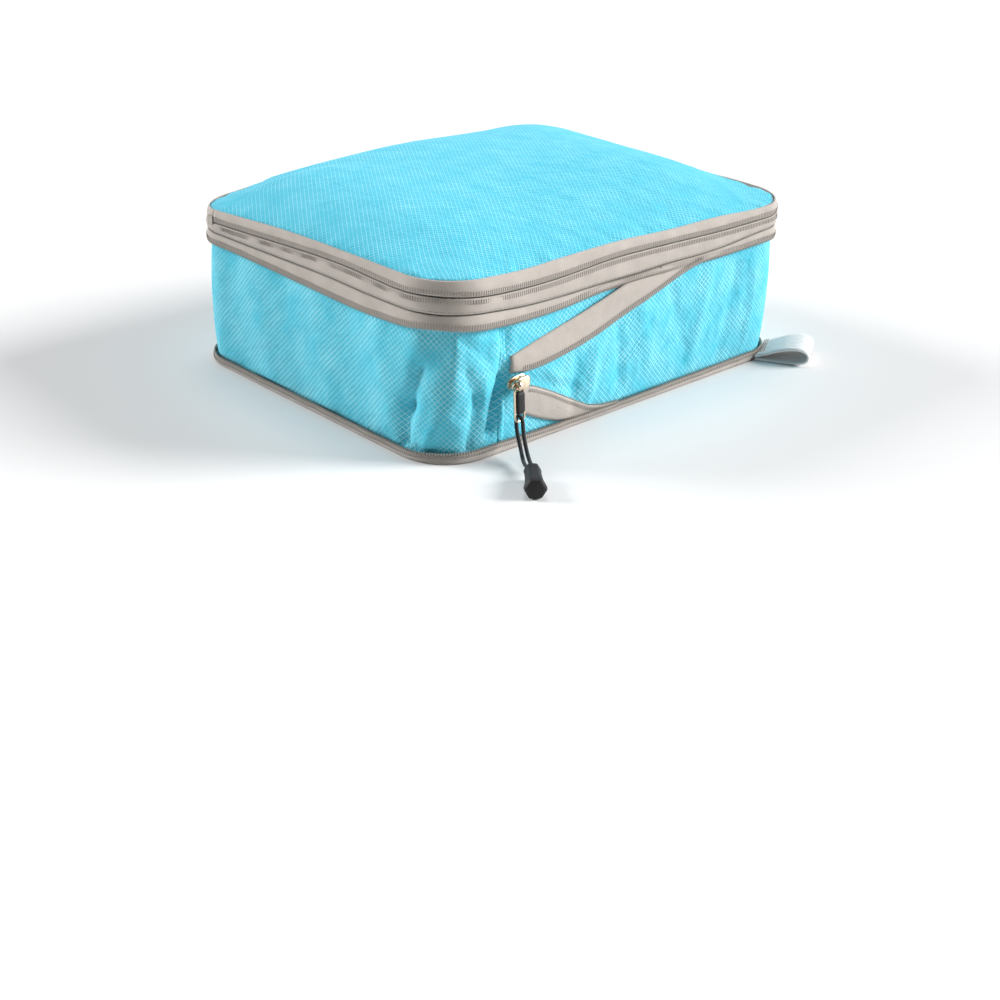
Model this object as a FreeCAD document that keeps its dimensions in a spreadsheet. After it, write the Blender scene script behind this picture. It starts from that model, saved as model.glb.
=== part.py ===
"""Compression packing cube: fabric box with a zipped lid and a second zip that squeezes its gusset.

Frame: origin on the floor under the middle of the outline, +X along the long side, +Z up.
The front wall, which carries the compression slider, faces -Y. All lengths are in millimetres.
"""
import FreeCAD, Part
import math
import os
import Sketcher
from FreeCAD import Placement, Rotation, Vector

doc = FreeCAD.newDocument("PackingCube")

# Driving dimensions. An offset is measured outwards from the nominal outline.
DIMENSIONS = {
    "outline_length": 261.0,
    "outline_width": 205.0,
    "corner_radius": 27.0,
    "panel_thickness": 1.2,
    "panel_offset": -0.6,
    "gusset_outer": -0.7,
    "gusset_inner": -1.5,
    "gusset_top": 69.0,
    "rim_outer": 0.8,
    "rim_low": 0.2,
    "rim_top": 3.6,
    "coil_height": 1.2,
    "rim_coil_outer": 0.9,
    "rim_coil_inner": -0.1,
    "tape_outer": 0.3,
    "tape_inner": -0.4,
    "band_low": 66.0,
    "seam_line": 75.0,
    "zip_line": 83.8,
    "zip_gap": 1.2,
    "band_top": 91.0,
    "coil_inner": -1.3,
    "binding_inner": -1.4,
    "binding_low": 70.0,
    "binding_top": 80.0,
    "lid_binding_low": 87.0,
    "base_binding_outer": -1.6,
    "base_binding_inner": -4.0,
    "base_binding_thickness": 0.7,
    "lid_skin": 1.0,
    "lid_crown": 17.2,
    "zip_end_back": 78.0,
    "stop_width": 4.0,
    "stop_height": 5.0,
    "stop_proud": 0.8,
    "end_stop_place": 18.0,
    "end_stop_length": 5.0,
    "end_stop_height": 4.5,
    "end_stop_rise": 2.0,
    "seam_place": -90.3,
    "seam_width": 3.0,
    "seam_thickness": 0.4,
    "seam_low": 5.0,
    "seam_high": 65.6,
    "start_tape_depth": 2.6,
    "loop_width": 25.0,
    "loop_length": 30.0,
    "loop_webbing": 1.2,
    "loop_tip_radius": 4.6,
    "tack_length": 1.6,
    "tack_thickness": 0.5,
    "tack_margin": 1.5,
    "tack_place": 1.2,
    "plate_length": 12.0,
    "plate_width": 7.5,
    "plate_thickness": 1.2,
    "back_plate_thickness": 0.8,
    "plate_gap": 2.2,
    "plate_corner": 2.6,
    "post_length": 2.5,
    "post_width": 0.6,
    "post_inset": 0.8,
    "bridge_outer": 3.3,
    "bridge_inner": 2.0,
    "bridge_width": 2.6,
    "bridge_shift": 3.2,
    "bail_length": 17.5,
    "bail_width": 6.0,
    "bail_corner": 2.2,
    "wire_radius": 0.65,
    "main_bail_length": 17.0,
    "keeper_start": 4.4,
    "keeper_length": 8.4,
    "keeper_width": 4.6,
    "keeper_depth": 2.6,
    "cord_diameter": 2.0,
    "end_length": 22.0,
    "end_waist": 15.0,
    "end_shoulder": 19.0,
    "end_mouth": 8.4,
    "end_butt": 10.2,
}

# Outlines on the front wall, as (x, z) corners of the two tapes that run out from the start of the
# compression zip: the upper one climbs to the band, the lower one falls to the rim.
UPPER_TAPE_COIL_EDGE = [
    (-74.0, 39.6), (-58.9, 40.4), (-29.5, 44.5), (1.3, 50.3), (16.9, 55.9), (32.6, 62.6), (41.0, 65.6),
]
UPPER_TAPE_SEWN_EDGE = [(-17.0, 65.6), (-46.5, 57.2), (-86.3, 46.5), (-86.0, 39.6)]
LOWER_TAPE_COIL_EDGE = [(-72.8, 30.0), (-57.8, 23.1), (-37.2, 13.5), (-21.0, 6.2)]
LOWER_TAPE_SEWN_EDGE = [(-19.0, 5.2), (-44.0, 5.2), (-67.0, 12.1), (-79.0, 17.8), (-79.0, 30.9)]

# The compression slider's bridge, and the pull that hangs from it down to the floor.
COMPRESSION_SLIDER = Vector(-83.4, -105.6, 35.4)
MAIN_SLIDER = Vector(130.0, 66.0, 83.8)
BAIL_DROP = 85.0
MAIN_BAIL_DROP = 86.0
PULL_HEADING = 230.0
CORD_ROUTE = [
    (-100.1, -135.3, 5.3), (-97.4, -131.0, 4.2), (-94.0, -125.2, 4.8), (-90.8, -119.4, 8.8),
    (-88.4, -114.9, 14.8), (-87.1, -112.9, 20.4), (-86.7, -107.9, 20.4), (-86.6, -108.6, 12.4),
    (-90.2, -115.8, 5.6), (-96.0, -123.2, 4.2), (-100.0, -129.4, 4.6), (-101.9, -133.7, 5.3),
]

# The grab loop's root on the rim, and the heading of its webbing away from the corner.
LOOP_ROOT = Vector(117.0, -98.85, 0.2)
LOOP_HEADING = -60.0

sheet = doc.addObject("Spreadsheet::Sheet", "cube")


def write_sheet():
    """Write every driving dimension to the sheet, one row each, and name its cell."""
    for row, (alias, value) in enumerate(DIMENSIONS.items(), start=1):
        sheet.set(f"A{row}", alias)
        sheet.set(f"B{row}", str(value))
        sheet.setAlias(f"B{row}", alias)
    doc.recompute()


def size(alias):
    """Read one dimension back from the sheet."""
    return float(sheet.get(alias))


def cell(alias):
    """The expression that names one cell of the sheet."""
    return f"cube.{alias}"


def origin_plane(body, role):
    """Find one of a body's own origin planes."""
    return next(item for item in body.Origin.OriginFeatures if item.Role == role)


def new_body(label):
    """Start an empty body for one sub-part."""
    body = doc.addObject("PartDesign::Body", label)
    body.Label = label
    return body


def new_sketch(body, name, role, lift="0"):
    """Start a sketch on one of the body's own planes, lifted along the plane's normal."""
    sketch = body.newObject("Sketcher::SketchObject", name)
    sketch.AttachmentSupport = (origin_plane(body, role), "")
    sketch.MapMode = "FlatFace"
    sketch.setExpression("AttachmentOffset.Base.z", lift)
    return sketch


def bind(sketch, constraint, name, expression):
    """Name a constraint and bind its value to an expression."""
    index = sketch.addConstraint(constraint)
    sketch.renameConstraint(index, name)
    sketch.setExpression(f"Constraints.{name}", expression)


def rounded_rectangle(sketch, name, length, width, radius):
    """Draw a centred rounded rectangle; each size is a pair of (value now, expression)."""
    half_x, half_y, corner = length[0] / 2, width[0] / 2, radius[0]
    first = sketch.GeometryCount
    inner_x, inner_y = half_x - corner, half_y - corner
    ends = [((-inner_x, -half_y), (inner_x, -half_y)), ((half_x, -inner_y), (half_x, inner_y)),
            ((inner_x, half_y), (-inner_x, half_y)), ((-half_x, inner_y), (-half_x, -inner_y))]
    centres = [(inner_x, -inner_y), (inner_x, inner_y), (-inner_x, inner_y), (-inner_x, -inner_y)]
    for side, (start, end) in enumerate(ends):
        sketch.addGeometry(Part.LineSegment(Vector(*start, 0), Vector(*end, 0)), False)
        circle = Part.Circle(Vector(*centres[side], 0), Vector(0, 0, 1), corner)
        turn = math.pi / 2 * (side - 1)
        sketch.addGeometry(Part.ArcOfCircle(circle, turn, turn + math.pi / 2), False)
    for side in range(4):
        line, arc = first + 2 * side, first + 2 * side + 1
        following = first + (2 * side + 2) % 8
        sketch.addConstraint(Sketcher.Constraint("Tangent", line, 2, arc, 1))
        sketch.addConstraint(Sketcher.Constraint("Tangent", arc, 2, following, 1))
        sketch.addConstraint(Sketcher.Constraint("Vertical" if side % 2 else "Horizontal", line))
        if side:
            sketch.addConstraint(Sketcher.Constraint("Equal", first + 1, arc))
    sketch.addConstraint(Sketcher.Constraint("Symmetric", first + 1, 3, first + 5, 3, -1, 1))
    bind(sketch, Sketcher.Constraint("Radius", first + 1, corner), f"{name}_radius", radius[1])
    bind(sketch, Sketcher.Constraint("DistanceX", first, 1, first, 2, 2 * inner_x),
         f"{name}_flat_x", f"{length[1]} - 2 * ({radius[1]})")
    bind(sketch, Sketcher.Constraint("DistanceY", first + 2, 1, first + 2, 2, 2 * inner_y),
         f"{name}_flat_y", f"{width[1]} - 2 * ({radius[1]})")


def outline(sketch, name, offset, follow_radius=True):
    """Draw the cube's outline moved outwards by an offset, given as (value, expression)."""
    value, expression = offset
    radius = (size("corner_radius"), cell("corner_radius"))
    if follow_radius:
        radius = (radius[0] + value, f"{radius[1]} + ({expression})")
    rounded_rectangle(
        sketch, name,
        (size("outline_length") + 2 * value, f"{cell('outline_length')} + 2 * ({expression})"),
        (size("outline_width") + 2 * value, f"{cell('outline_width')} + 2 * ({expression})"),
        radius)


def offset_of(alias):
    """An offset from the outline as the pair that outline() takes."""
    return size(alias), cell(alias)


def pad(body, sketch, length, both_ways=False):
    """Pad a sketch by a length given as an expression."""
    feature = body.newObject("PartDesign::Pad", f"{body.Name}_pad")
    feature.Profile = sketch
    feature.setExpression("Length", length)
    feature.Midplane = both_ways
    return feature


def plate(label, offset, low, thickness):
    """A flat panel with the cube's outline."""
    body = new_body(label)
    sketch = new_sketch(body, f"{label}_outline", "XY_Plane", low)
    outline(sketch, "outer", offset_of(offset))
    pad(body, sketch, thickness)
    return body


def ring(label, outer, inner, low, high):
    """A tape or strip that runs all the way round the cube."""
    body = new_body(label)
    sketch = new_sketch(body, f"{label}_outline", "XY_Plane", low)
    outline(sketch, "outer", offset_of(outer))
    outline(sketch, "inner", offset_of(inner))
    pad(body, sketch, f"({high}) - ({low})")
    return body


def open_back(body, low, high):
    """Cut away a ring behind the ends of the main zip, which runs round three sides only."""
    doc.recompute()
    before = body.Shape.Volume
    sketch = new_sketch(body, f"{body.Name}_back", "XY_Plane", low)
    reach = size("outline_length")
    near, far = size("zip_end_back"), size("outline_width")
    corners = [(-reach, near), (reach, near), (reach, far), (-reach, far)]
    polygon(sketch, corners)
    bind(sketch, Sketcher.Constraint("DistanceY", -1, 1, 0, 1, near), "near", cell("zip_end_back"))
    cut = body.newObject("PartDesign::Pocket", f"{body.Name}_cut")
    cut.Profile = sketch
    cut.Reversed = True
    cut.setExpression("Length", f"({high}) - ({low})")
    doc.recompute()
    assert body.Shape.Volume < 0.9 * before, f"{body.Label}: the back was not cut away"


def polygon(sketch, corners):
    """Draw a closed polygon through the corners."""
    count = len(corners)
    for index, corner in enumerate(corners):
        following = corners[(index + 1) % count]
        sketch.addGeometry(Part.LineSegment(Vector(*corner, 0), Vector(*following, 0)), False)
    for index in range(count):
        sketch.addConstraint(Sketcher.Constraint("Coincident", index, 2, (index + 1) % count, 1))


def wall_patch(label, corners, depth):
    """A flat piece on the front wall, from its (x, z) corners, standing out by a depth."""
    body = new_body(label)
    sketch = new_sketch(body, f"{label}_outline", "XZ_Plane",
                        f"{cell('outline_width')} / 2 + {cell('gusset_outer')}")
    polygon(sketch, corners)
    pad(body, sketch, depth)
    return body


def shifted(edge, rise):
    """A coil's outline: the tape's edge and the same edge moved up or down."""
    return edge + [(x, z + rise) for x, z in reversed(edge)]


def box(label, length, width, height, corner=()):
    """A Part box whose sizes, and its corner where one is given, are expressions."""
    piece = doc.addObject("Part::Box", label)
    piece.Label = label
    piece.setExpression("Length", length)
    piece.setExpression("Width", width)
    piece.setExpression("Height", height)
    for axis, expression in zip("xyz", corner):
        piece.setExpression(f"Placement.Base.{axis}", expression)
    return piece


def base_parts():
    """The floor panel, the rim with its half of the compression zip, and the gusset wall."""
    plate("base_panel", "panel_offset", "0", cell("panel_thickness"))
    ring("base_seam_binding", "base_binding_outer", "base_binding_inner", cell("panel_thickness"),
         f"{cell('panel_thickness')} + {cell('base_binding_thickness')}")
    ring("rim_zip_tape", "rim_outer", "panel_offset", cell("rim_low"), cell("rim_top"))
    ring("rim_zip_coil", "rim_coil_outer", "rim_coil_inner", cell("rim_top"),
         f"{cell('rim_top')} + {cell('coil_height')}")
    ring("gusset_strip", "gusset_outer", "gusset_inner", cell("panel_thickness"), cell("gusset_top"))
    seam_height = f"{cell('seam_high')} - {cell('seam_low')}"
    box("gusset_seam", cell("seam_width"), cell("seam_thickness"), seam_height,
        (f"{cell('seam_place')} - {cell('seam_width')} / 2",
         f"-{cell('outline_width')} / 2 - {cell('gusset_outer')} - {cell('seam_thickness')}",
         cell("seam_low")))


def start_tapes():
    """The two tapes that spread from the compression zip's start, and their coils."""
    rise = size("coil_height")
    depth = cell("start_tape_depth")
    wall_patch("start_tape_upper", UPPER_TAPE_COIL_EDGE + UPPER_TAPE_SEWN_EDGE, depth)
    wall_patch("start_coil_upper", shifted(UPPER_TAPE_COIL_EDGE, -rise), depth)
    wall_patch("start_tape_lower", LOWER_TAPE_COIL_EDGE + LOWER_TAPE_SEWN_EDGE, depth)
    wall_patch("start_coil_lower", shifted(LOWER_TAPE_COIL_EDGE, rise), depth)


def grab_loop():
    """The webbing loop sewn into the rim at the right front corner, and its bar of stitches."""
    body = new_body("grab_loop")
    sketch = new_sketch(body, "grab_loop_outline", "XZ_Plane")
    tip, webbing = size("loop_tip_radius"), size("loop_webbing")
    reach = size("loop_length") - tip
    inner = tip - webbing
    root = 2 * webbing
    outer_top = tangent_point((0.0, root), (reach, tip), tip)
    inner_root = (2.5 * root, webbing + 0.4)
    inner_top = tangent_point(inner_root, (reach, tip), inner)
    closed_curve(sketch, [(0.0, 0.0), (reach, 0.0)], (reach, tip), tip, outer_top, (0.0, root))
    closed_curve(sketch, [(inner_root[0], webbing), (reach, webbing)], (reach, tip), inner,
                 inner_top, inner_root)
    pad(body, sketch, cell("loop_width"), both_ways=True)
    heading = Rotation(Vector(0, 0, 1), LOOP_HEADING)
    body.Placement = Placement(LOOP_ROOT, heading)
    tack = box("grab_loop_bartack", cell("tack_length"),
               f"{cell('loop_width')} - 2 * {cell('tack_margin')}", cell("tack_thickness"))
    corner = Vector(size("tack_place"), size("tack_margin") - size("loop_width") / 2,
                    root + size("tack_thickness") / 2)
    tack.Placement = Placement(LOOP_ROOT + heading.multVec(corner), heading)


def tangent_point(outside, centre, radius):
    """The upper point where a line from an outside point touches a circle."""
    dx, dz = outside[0] - centre[0], outside[1] - centre[1]
    reach = math.hypot(dx, dz)
    angle = math.atan2(dz, dx) - math.acos(radius / reach)
    return centre[0] + radius * math.cos(angle), centre[1] + radius * math.sin(angle)


def closed_curve(sketch, floor, centre, radius, top, root):
    """A flat floor, a round tip, a sloping top and a short closing side."""
    first = sketch.GeometryCount
    points = [Vector(*point, 0) for point in floor]
    crown = Vector(centre[0] + radius, centre[1], 0)
    end, back = Vector(*top, 0), Vector(*root, 0)
    sketch.addGeometry(Part.LineSegment(points[0], points[1]), False)
    sketch.addGeometry(Part.Arc(points[1], crown, end), False)
    sketch.addGeometry(Part.LineSegment(end, back), False)
    sketch.addGeometry(Part.LineSegment(back, points[0]), False)
    joints = [(0, 2, 1, 1), (1, 2, 2, 1), (2, 2, 3, 1), (3, 2, 0, 1)]
    for one, one_end, other, other_end in joints:
        sketch.addConstraint(Sketcher.Constraint("Coincident", first + one, one_end,
                                                 first + other, other_end))


def band_parts():
    """The frame of zip tapes under the lid: upper half of the compression zip, lower half of the main zip."""
    coil_top = f"{cell('band_low')} + {cell('coil_height')}"
    ring("band_comp_coil", "tape_outer", "tape_inner", cell("band_low"), coil_top)
    ring("band_comp_tape", "tape_outer", "tape_inner", coil_top, cell("seam_line"))
    lower_edge = f"{cell('zip_line')} - {cell('zip_gap')} / 2"
    ring("band_main_tape", "tape_outer", "tape_inner", cell("seam_line"), lower_edge)
    coil_low = f"{lower_edge} - {cell('coil_height')}"
    coil = ring("main_zip_coil_lower", "tape_inner", "coil_inner", coil_low, lower_edge)
    open_back(coil, coil_low, lower_edge)
    ring("band_binding", "tape_inner", "binding_inner", cell("binding_low"), cell("binding_top"))
    box("comp_zip_end_stop", cell("end_stop_length"), cell("stop_proud"), cell("end_stop_height"),
        (cell("end_stop_place"),
         f"-{cell('outline_width')} / 2 - {cell('tape_outer')} - {cell('stop_proud')}",
         f"{cell('band_low')} + {cell('end_stop_rise')}"))
    for side, name in ((1, "right"), (-1, "left")):
        face = f"{cell('outline_length')} / 2 + {cell('tape_outer')}"
        low_x = face if side > 0 else f"-({face}) - {cell('stop_proud')}"
        box(f"main_zip_stop_{name}", cell("stop_proud"), cell("stop_width"), cell("stop_height"),
            (low_x, cell("zip_end_back"), f"{lower_edge} - {cell('stop_height')}"))


def lid_parts():
    """The crowned lid panel, the upper half of the main zip and the fabric hinge along the back."""
    upper_edge = f"{cell('zip_line')} + {cell('zip_gap')} / 2"
    coil_top = f"{upper_edge} + {cell('coil_height')}"
    tape = ring("lid_zip_tape", "tape_outer", "tape_inner", upper_edge, cell("band_top"))
    open_back(tape, upper_edge, cell("band_top"))
    coil = ring("main_zip_coil_upper", "tape_inner", "coil_inner", upper_edge, coil_top)
    open_back(coil, upper_edge, coil_top)
    lid_hinge_strip(upper_edge)
    ring("lid_binding", "tape_inner", "binding_inner", cell("lid_binding_low"), cell("band_top"))
    lid_panel()


def lid_hinge_strip(low):
    """The strip of fabric that joins the lid to the band between the two ends of the main zip."""
    body = ring("lid_hinge_strip", "tape_outer", "tape_inner", low, cell("band_top"))
    doc.recompute()
    sketch = new_sketch(body, "lid_hinge_strip_front", "XY_Plane", low)
    reach = size("outline_length")
    near = size("zip_end_back")
    polygon(sketch, [(-reach, near), (-reach, -reach), (reach, -reach), (reach, near)])
    bind(sketch, Sketcher.Constraint("DistanceY", -1, 1, 0, 1, near), "near", cell("zip_end_back"))
    cut = body.newObject("PartDesign::Pocket", "lid_hinge_strip_cut")
    cut.Profile = sketch
    cut.Reversed = True
    cut.setExpression("Length", f"{cell('band_top')} - ({low})")


def lid_panel():
    """A thin crowned shell: one loft for the outside and a smaller one cut out of it."""
    body = new_body("lid_panel")
    crown, skin = size("lid_crown"), size("lid_skin")
    profile = [(0.0, 0.0), (0.42, -3.0), (0.74, -15.0), (0.93, -38.0), (1.0, -66.0)]
    outside = [lid_section(body, f"outside_{n}", rise * crown, inset)
               for n, (rise, inset) in enumerate(profile)]
    loft = body.newObject("PartDesign::AdditiveLoft", "lid_outside")
    loft.Profile, loft.Sections, loft.Ruled = outside[0], outside[1:], True
    doc.recompute()
    before = body.Shape.Volume
    inside = [lid_section(body, f"inside_{n}", rise * crown - skin, inset - skin)
              for n, (rise, inset) in enumerate(profile)]
    hollow = body.newObject("PartDesign::SubtractiveLoft", "lid_hollow")
    hollow.Profile, hollow.Sections, hollow.Ruled = inside[0], inside[1:], True
    doc.recompute()
    assert body.Shape.Volume < 0.2 * before, "the lid was not hollowed"


def lid_section(body, name, rise, inset):
    """One rounded outline across the lid, at a height above the band and inside its outer face."""
    sketch = new_sketch(body, f"lid_{name}", "XY_Plane", f"{cell('band_top')} + {rise}")
    value = size("tape_outer") + inset
    outline(sketch, "outer", (value, f"{cell('tape_outer')} + ({inset})"), follow_radius=False)
    return sketch


ZIP_FACING = {
    "compression": Rotation(Vector(1, 0, 0), 90),
    "main": Rotation(Vector(0, 0, 1), 90).multiply(Rotation(Vector(1, 0, 0), 90)),
}


def slider(label, place, facing):
    """A zip slider: two plates joined by a post that runs between the tapes, and the bridge on top."""
    plates = new_body(f"{label}_body")
    half_gap = f"{cell('plate_gap')} / 2"
    face = new_sketch(plates, f"{label}_face", "XY_Plane", half_gap)
    slider_outline(face)
    pad(plates, face, cell("plate_thickness"))
    doc.recompute()
    post = new_sketch(plates, f"{label}_post", "XY_Plane", f"-{half_gap}")
    nose = size("post_inset") - size("plate_length") / 2
    half_post = size("post_width") / 2
    polygon(post, [(nose, -half_post), (nose + size("post_length"), -half_post),
                   (nose + size("post_length"), half_post), (nose, half_post)])
    pad(plates, post, cell("plate_gap"))
    doc.recompute()
    back = new_sketch(plates, f"{label}_back", "XY_Plane", f"-{half_gap} - {cell('back_plate_thickness')}")
    slider_outline(back)
    pad(plates, back, cell("back_plate_thickness"))
    plates.Placement = Placement(place, facing)
    bridge(label, place, facing)


def slider_outline(sketch):
    """A slider plate's rounded outline."""
    rounded_rectangle(sketch, "plate", (size("plate_length"), cell("plate_length")),
                      (size("plate_width"), cell("plate_width")),
                      (size("plate_corner"), cell("plate_corner")))


def bridge(label, place, facing):
    """The arch that stands near the tail of a slider's top plate and holds the bail."""
    body = new_body(f"{label}_bridge")
    sketch = new_sketch(body, f"{label}_arch", "YZ_Plane", f"-{cell('bridge_width')} / 2")
    top = size("plate_gap") / 2 + size("plate_thickness")
    outer, inner = size("bridge_outer"), size("bridge_inner")
    centre = Vector(0, top, 0)
    for radius in (outer, inner):
        circle = Part.Circle(centre, Vector(0, 0, 1), radius)
        sketch.addGeometry(Part.ArcOfCircle(circle, 0, math.pi), False)
    for side in (1, -1):
        foot = Part.LineSegment(Vector(side * outer, top, 0), Vector(side * inner, top, 0))
        sketch.addGeometry(foot, False)
    for one, end, other in ((0, 1, 2), (0, 2, 3)):
        sketch.addConstraint(Sketcher.Constraint("Coincident", one, end, other, 1))
    for one, end, other in ((1, 1, 2), (1, 2, 3)):
        sketch.addConstraint(Sketcher.Constraint("Coincident", one, end, other, 2))
    pad(body, sketch, cell("bridge_width"))
    shift = facing.multVec(Vector(-size("bridge_shift"), 0, 0))
    body.Placement = Placement(place + shift, facing)


def bridge_centre(place, facing):
    """Where a bail's top bar runs through the bridge."""
    lift = size("plate_gap") / 2 + size("plate_thickness") + size("bridge_inner") - size("wire_radius") - 0.25
    return place + facing.multVec(Vector(-size("bridge_shift"), 0, lift))


def bail(label, length_cell, hinge, facing, drop):
    """A wire bail: a closed round-cornered loop whose top bar lies in the bridge.

    Its own frame has +X along the top bar and -Y down the loop; drop is the angle below the
    direction that faces away from the wall.
    """
    body = new_body(label)
    path = new_sketch(body, f"{label}_path", "XY_Plane")
    length = size(length_cell)
    rounded_rectangle(path, "wire", (size("bail_width"), cell("bail_width")), (length, cell(length_cell)),
                      (size("bail_corner"), cell("bail_corner")))
    wire = new_sketch(body, f"{label}_wire", "YZ_Plane")
    wire.addGeometry(Part.Circle(Vector(length / 2, 0, 0), Vector(0, 0, 1), size("wire_radius")), False)
    bind(wire, Sketcher.Constraint("Radius", 0, size("wire_radius")), "wire_radius", cell("wire_radius"))
    bind(wire, Sketcher.Constraint("DistanceX", -1, 1, 0, 3, length / 2), "reach", f"{cell(length_cell)} / 2")
    wire.addConstraint(Sketcher.Constraint("PointOnObject", 0, 3, -1))
    sweep = body.newObject("PartDesign::AdditivePipe", f"{label}_sweep")
    sweep.Profile = wire
    sweep.Spine = path
    turn = facing.multiply(Rotation(Vector(1, 0, 0), drop - 90))
    body.Placement = Placement(hinge - turn.multVec(Vector(0, length / 2, 0)), turn)
    return body


def pull_keeper(hinge, facing):
    """The moulded keeper that fills the bail and holds its two wires together."""
    keeper = box("comp_pull_keeper", cell("keeper_width"), cell("keeper_length"), cell("keeper_depth"))
    turn = facing.multiply(Rotation(Vector(1, 0, 0), BAIL_DROP - 90))
    corner = Vector(-size("keeper_width") / 2, -size("keeper_start") - size("keeper_length"),
                    -size("keeper_depth") / 2)
    keeper.Placement = Placement(hinge + turn.multVec(corner), turn)


def cord_tube(points, radius):
    """A round tube of straight runs joined by tangent arcs; prints each arc's radius."""
    edges, radii, start = [], [], points[0]
    for before, corner, after in zip(points, points[1:], points[2:]):
        into, out = (corner - before), (after - corner)
        half_turn = into.getAngle(out) / 2
        trim = 0.45 * min(into.Length, out.Length)
        radii.append(trim / math.tan(half_turn))
        into.normalize()
        out.normalize()
        arc_start, arc_end = corner - into * trim, corner + out * trim
        middle = corner + (out - into).normalize() * radii[-1] * (1 / math.cos(half_turn) - 1)
        edges.append(Part.LineSegment(start, arc_start).toShape())
        edges.append(Part.Arc(arc_start, middle, arc_end).toShape())
        start = arc_end
    edges.append(Part.LineSegment(start, points[-1]).toShape())
    length = sum(edge.Length for edge in edges)
    section = Part.Wire(Part.Circle(points[0], points[1] - points[0], radius).toShape())
    tube = Part.Wire(edges).makePipeShell([section], True, True)
    expected = math.pi * radius ** 2 * length
    print("cord length", round(length, 1), "radii", [round(value, 1) for value in radii])
    print("cord volume over section times length", round(tube.Volume / expected, 4))
    return tube


def pull_cord():
    """The doubled cord: one length that runs from the moulded end, round the bail, and back."""
    piece = doc.addObject("Part::Feature", "comp_pull_cord")
    piece.Label = "comp_pull_cord"
    piece.Shape = cord_tube([Vector(*point) for point in CORD_ROUTE], size("cord_diameter") / 2)
    return piece


def pull_end():
    """The six-sided moulded grip on the cord's two ends, a little wider at its butt."""
    body = new_body("comp_pull_end")
    sections = []
    for name, lift, across in (("mouth", "0", "end_mouth"), ("waist", cell("end_waist"), "end_mouth"),
                               ("shoulder", cell("end_shoulder"), "end_butt"),
                               ("butt", cell("end_length"), "end_mouth")):
        sketch = new_sketch(body, f"end_{name}", "XY_Plane", lift)
        hexagon(sketch, size(across) / 2, f"{cell(across)} / 2")
        sections.append(sketch)
    loft = body.newObject("PartDesign::AdditiveLoft", "end_loft")
    loft.Profile, loft.Sections, loft.Ruled = sections[0], sections[1:], True
    heading = Rotation(Vector(0, 0, 1), PULL_HEADING)
    mouth = (Vector(*CORD_ROUTE[0]) + Vector(*CORD_ROUTE[-1])) * 0.5
    body.Placement = Placement(mouth, heading.multiply(Rotation(Vector(0, 1, 0), 90)))


def hexagon(sketch, apothem, expression):
    """A regular hexagon with two flats level; its size is bound to the distance to a flat."""
    corner = apothem / math.cos(math.pi / 6)
    turns = [math.radians(60 * side) for side in range(6)]
    polygon(sketch, [(corner * math.sin(turn), corner * math.cos(turn)) for turn in turns])
    sketch.addGeometry(Part.Circle(Vector(0, 0, 0), Vector(0, 0, 1), corner), True)
    sketch.addConstraint(Sketcher.Constraint("Coincident", 6, 3, -1, 1))
    for side in range(6):
        sketch.addConstraint(Sketcher.Constraint("PointOnObject", side, 1, 6))
        if side:
            sketch.addConstraint(Sketcher.Constraint("Equal", 0, side))
    sketch.addConstraint(Sketcher.Constraint("PointOnObject", 0, 1, -2))
    bind(sketch, Sketcher.Constraint("Radius", 6, corner), "corner", f"({expression}) / cos(30deg)")


def check_and_write():
    """Stop at any failed feature or bad solid, then write one STEP file for each sub-part."""
    doc.recompute()
    failed = [item.Name for item in doc.Objects if {"Invalid", "Error"} & set(item.State)]
    assert not failed, f"failed features: {failed}"
    os.makedirs("parts", exist_ok=True)
    pieces = [item for item in doc.Objects
              if item.isDerivedFrom("PartDesign::Body") or item.TypeId in ("Part::Box", "Part::Feature")]
    for piece in pieces:
        shape = piece.Shape
        assert not shape.isNull() and shape.isValid() and shape.Volume > 0, f"bad solid: {piece.Label}"
        shape.exportStep(f"parts/{piece.Label}.step")
    print(len(pieces), "sub-parts written")


write_sheet()
base_parts()
start_tapes()
grab_loop()
band_parts()
lid_parts()

front, side = ZIP_FACING["compression"], ZIP_FACING["main"]
slider("comp_slider", COMPRESSION_SLIDER, front)
front_hinge = bridge_centre(COMPRESSION_SLIDER, front)
bail("comp_pull_bail", "bail_length", front_hinge, front, BAIL_DROP)
pull_keeper(front_hinge, front)
pull_cord()
pull_end()

slider("main_slider", MAIN_SLIDER, side)
bail("main_slider_bail", "main_bail_length", bridge_centre(MAIN_SLIDER, side), side, MAIN_BAIL_DROP)

check_and_write()
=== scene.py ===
"""Looks of the compression packing cube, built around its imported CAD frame.

Lengths are in millimetres until a mesh or curve is made, where they are turned into metres.
Positions on the walls are given by the distance s round the outline, counted from the gusset's seam
on the front wall towards +X, and by the height z above the floor.
"""
import math

import bpy
import numpy as np
from mathutils import Matrix, Vector


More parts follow.
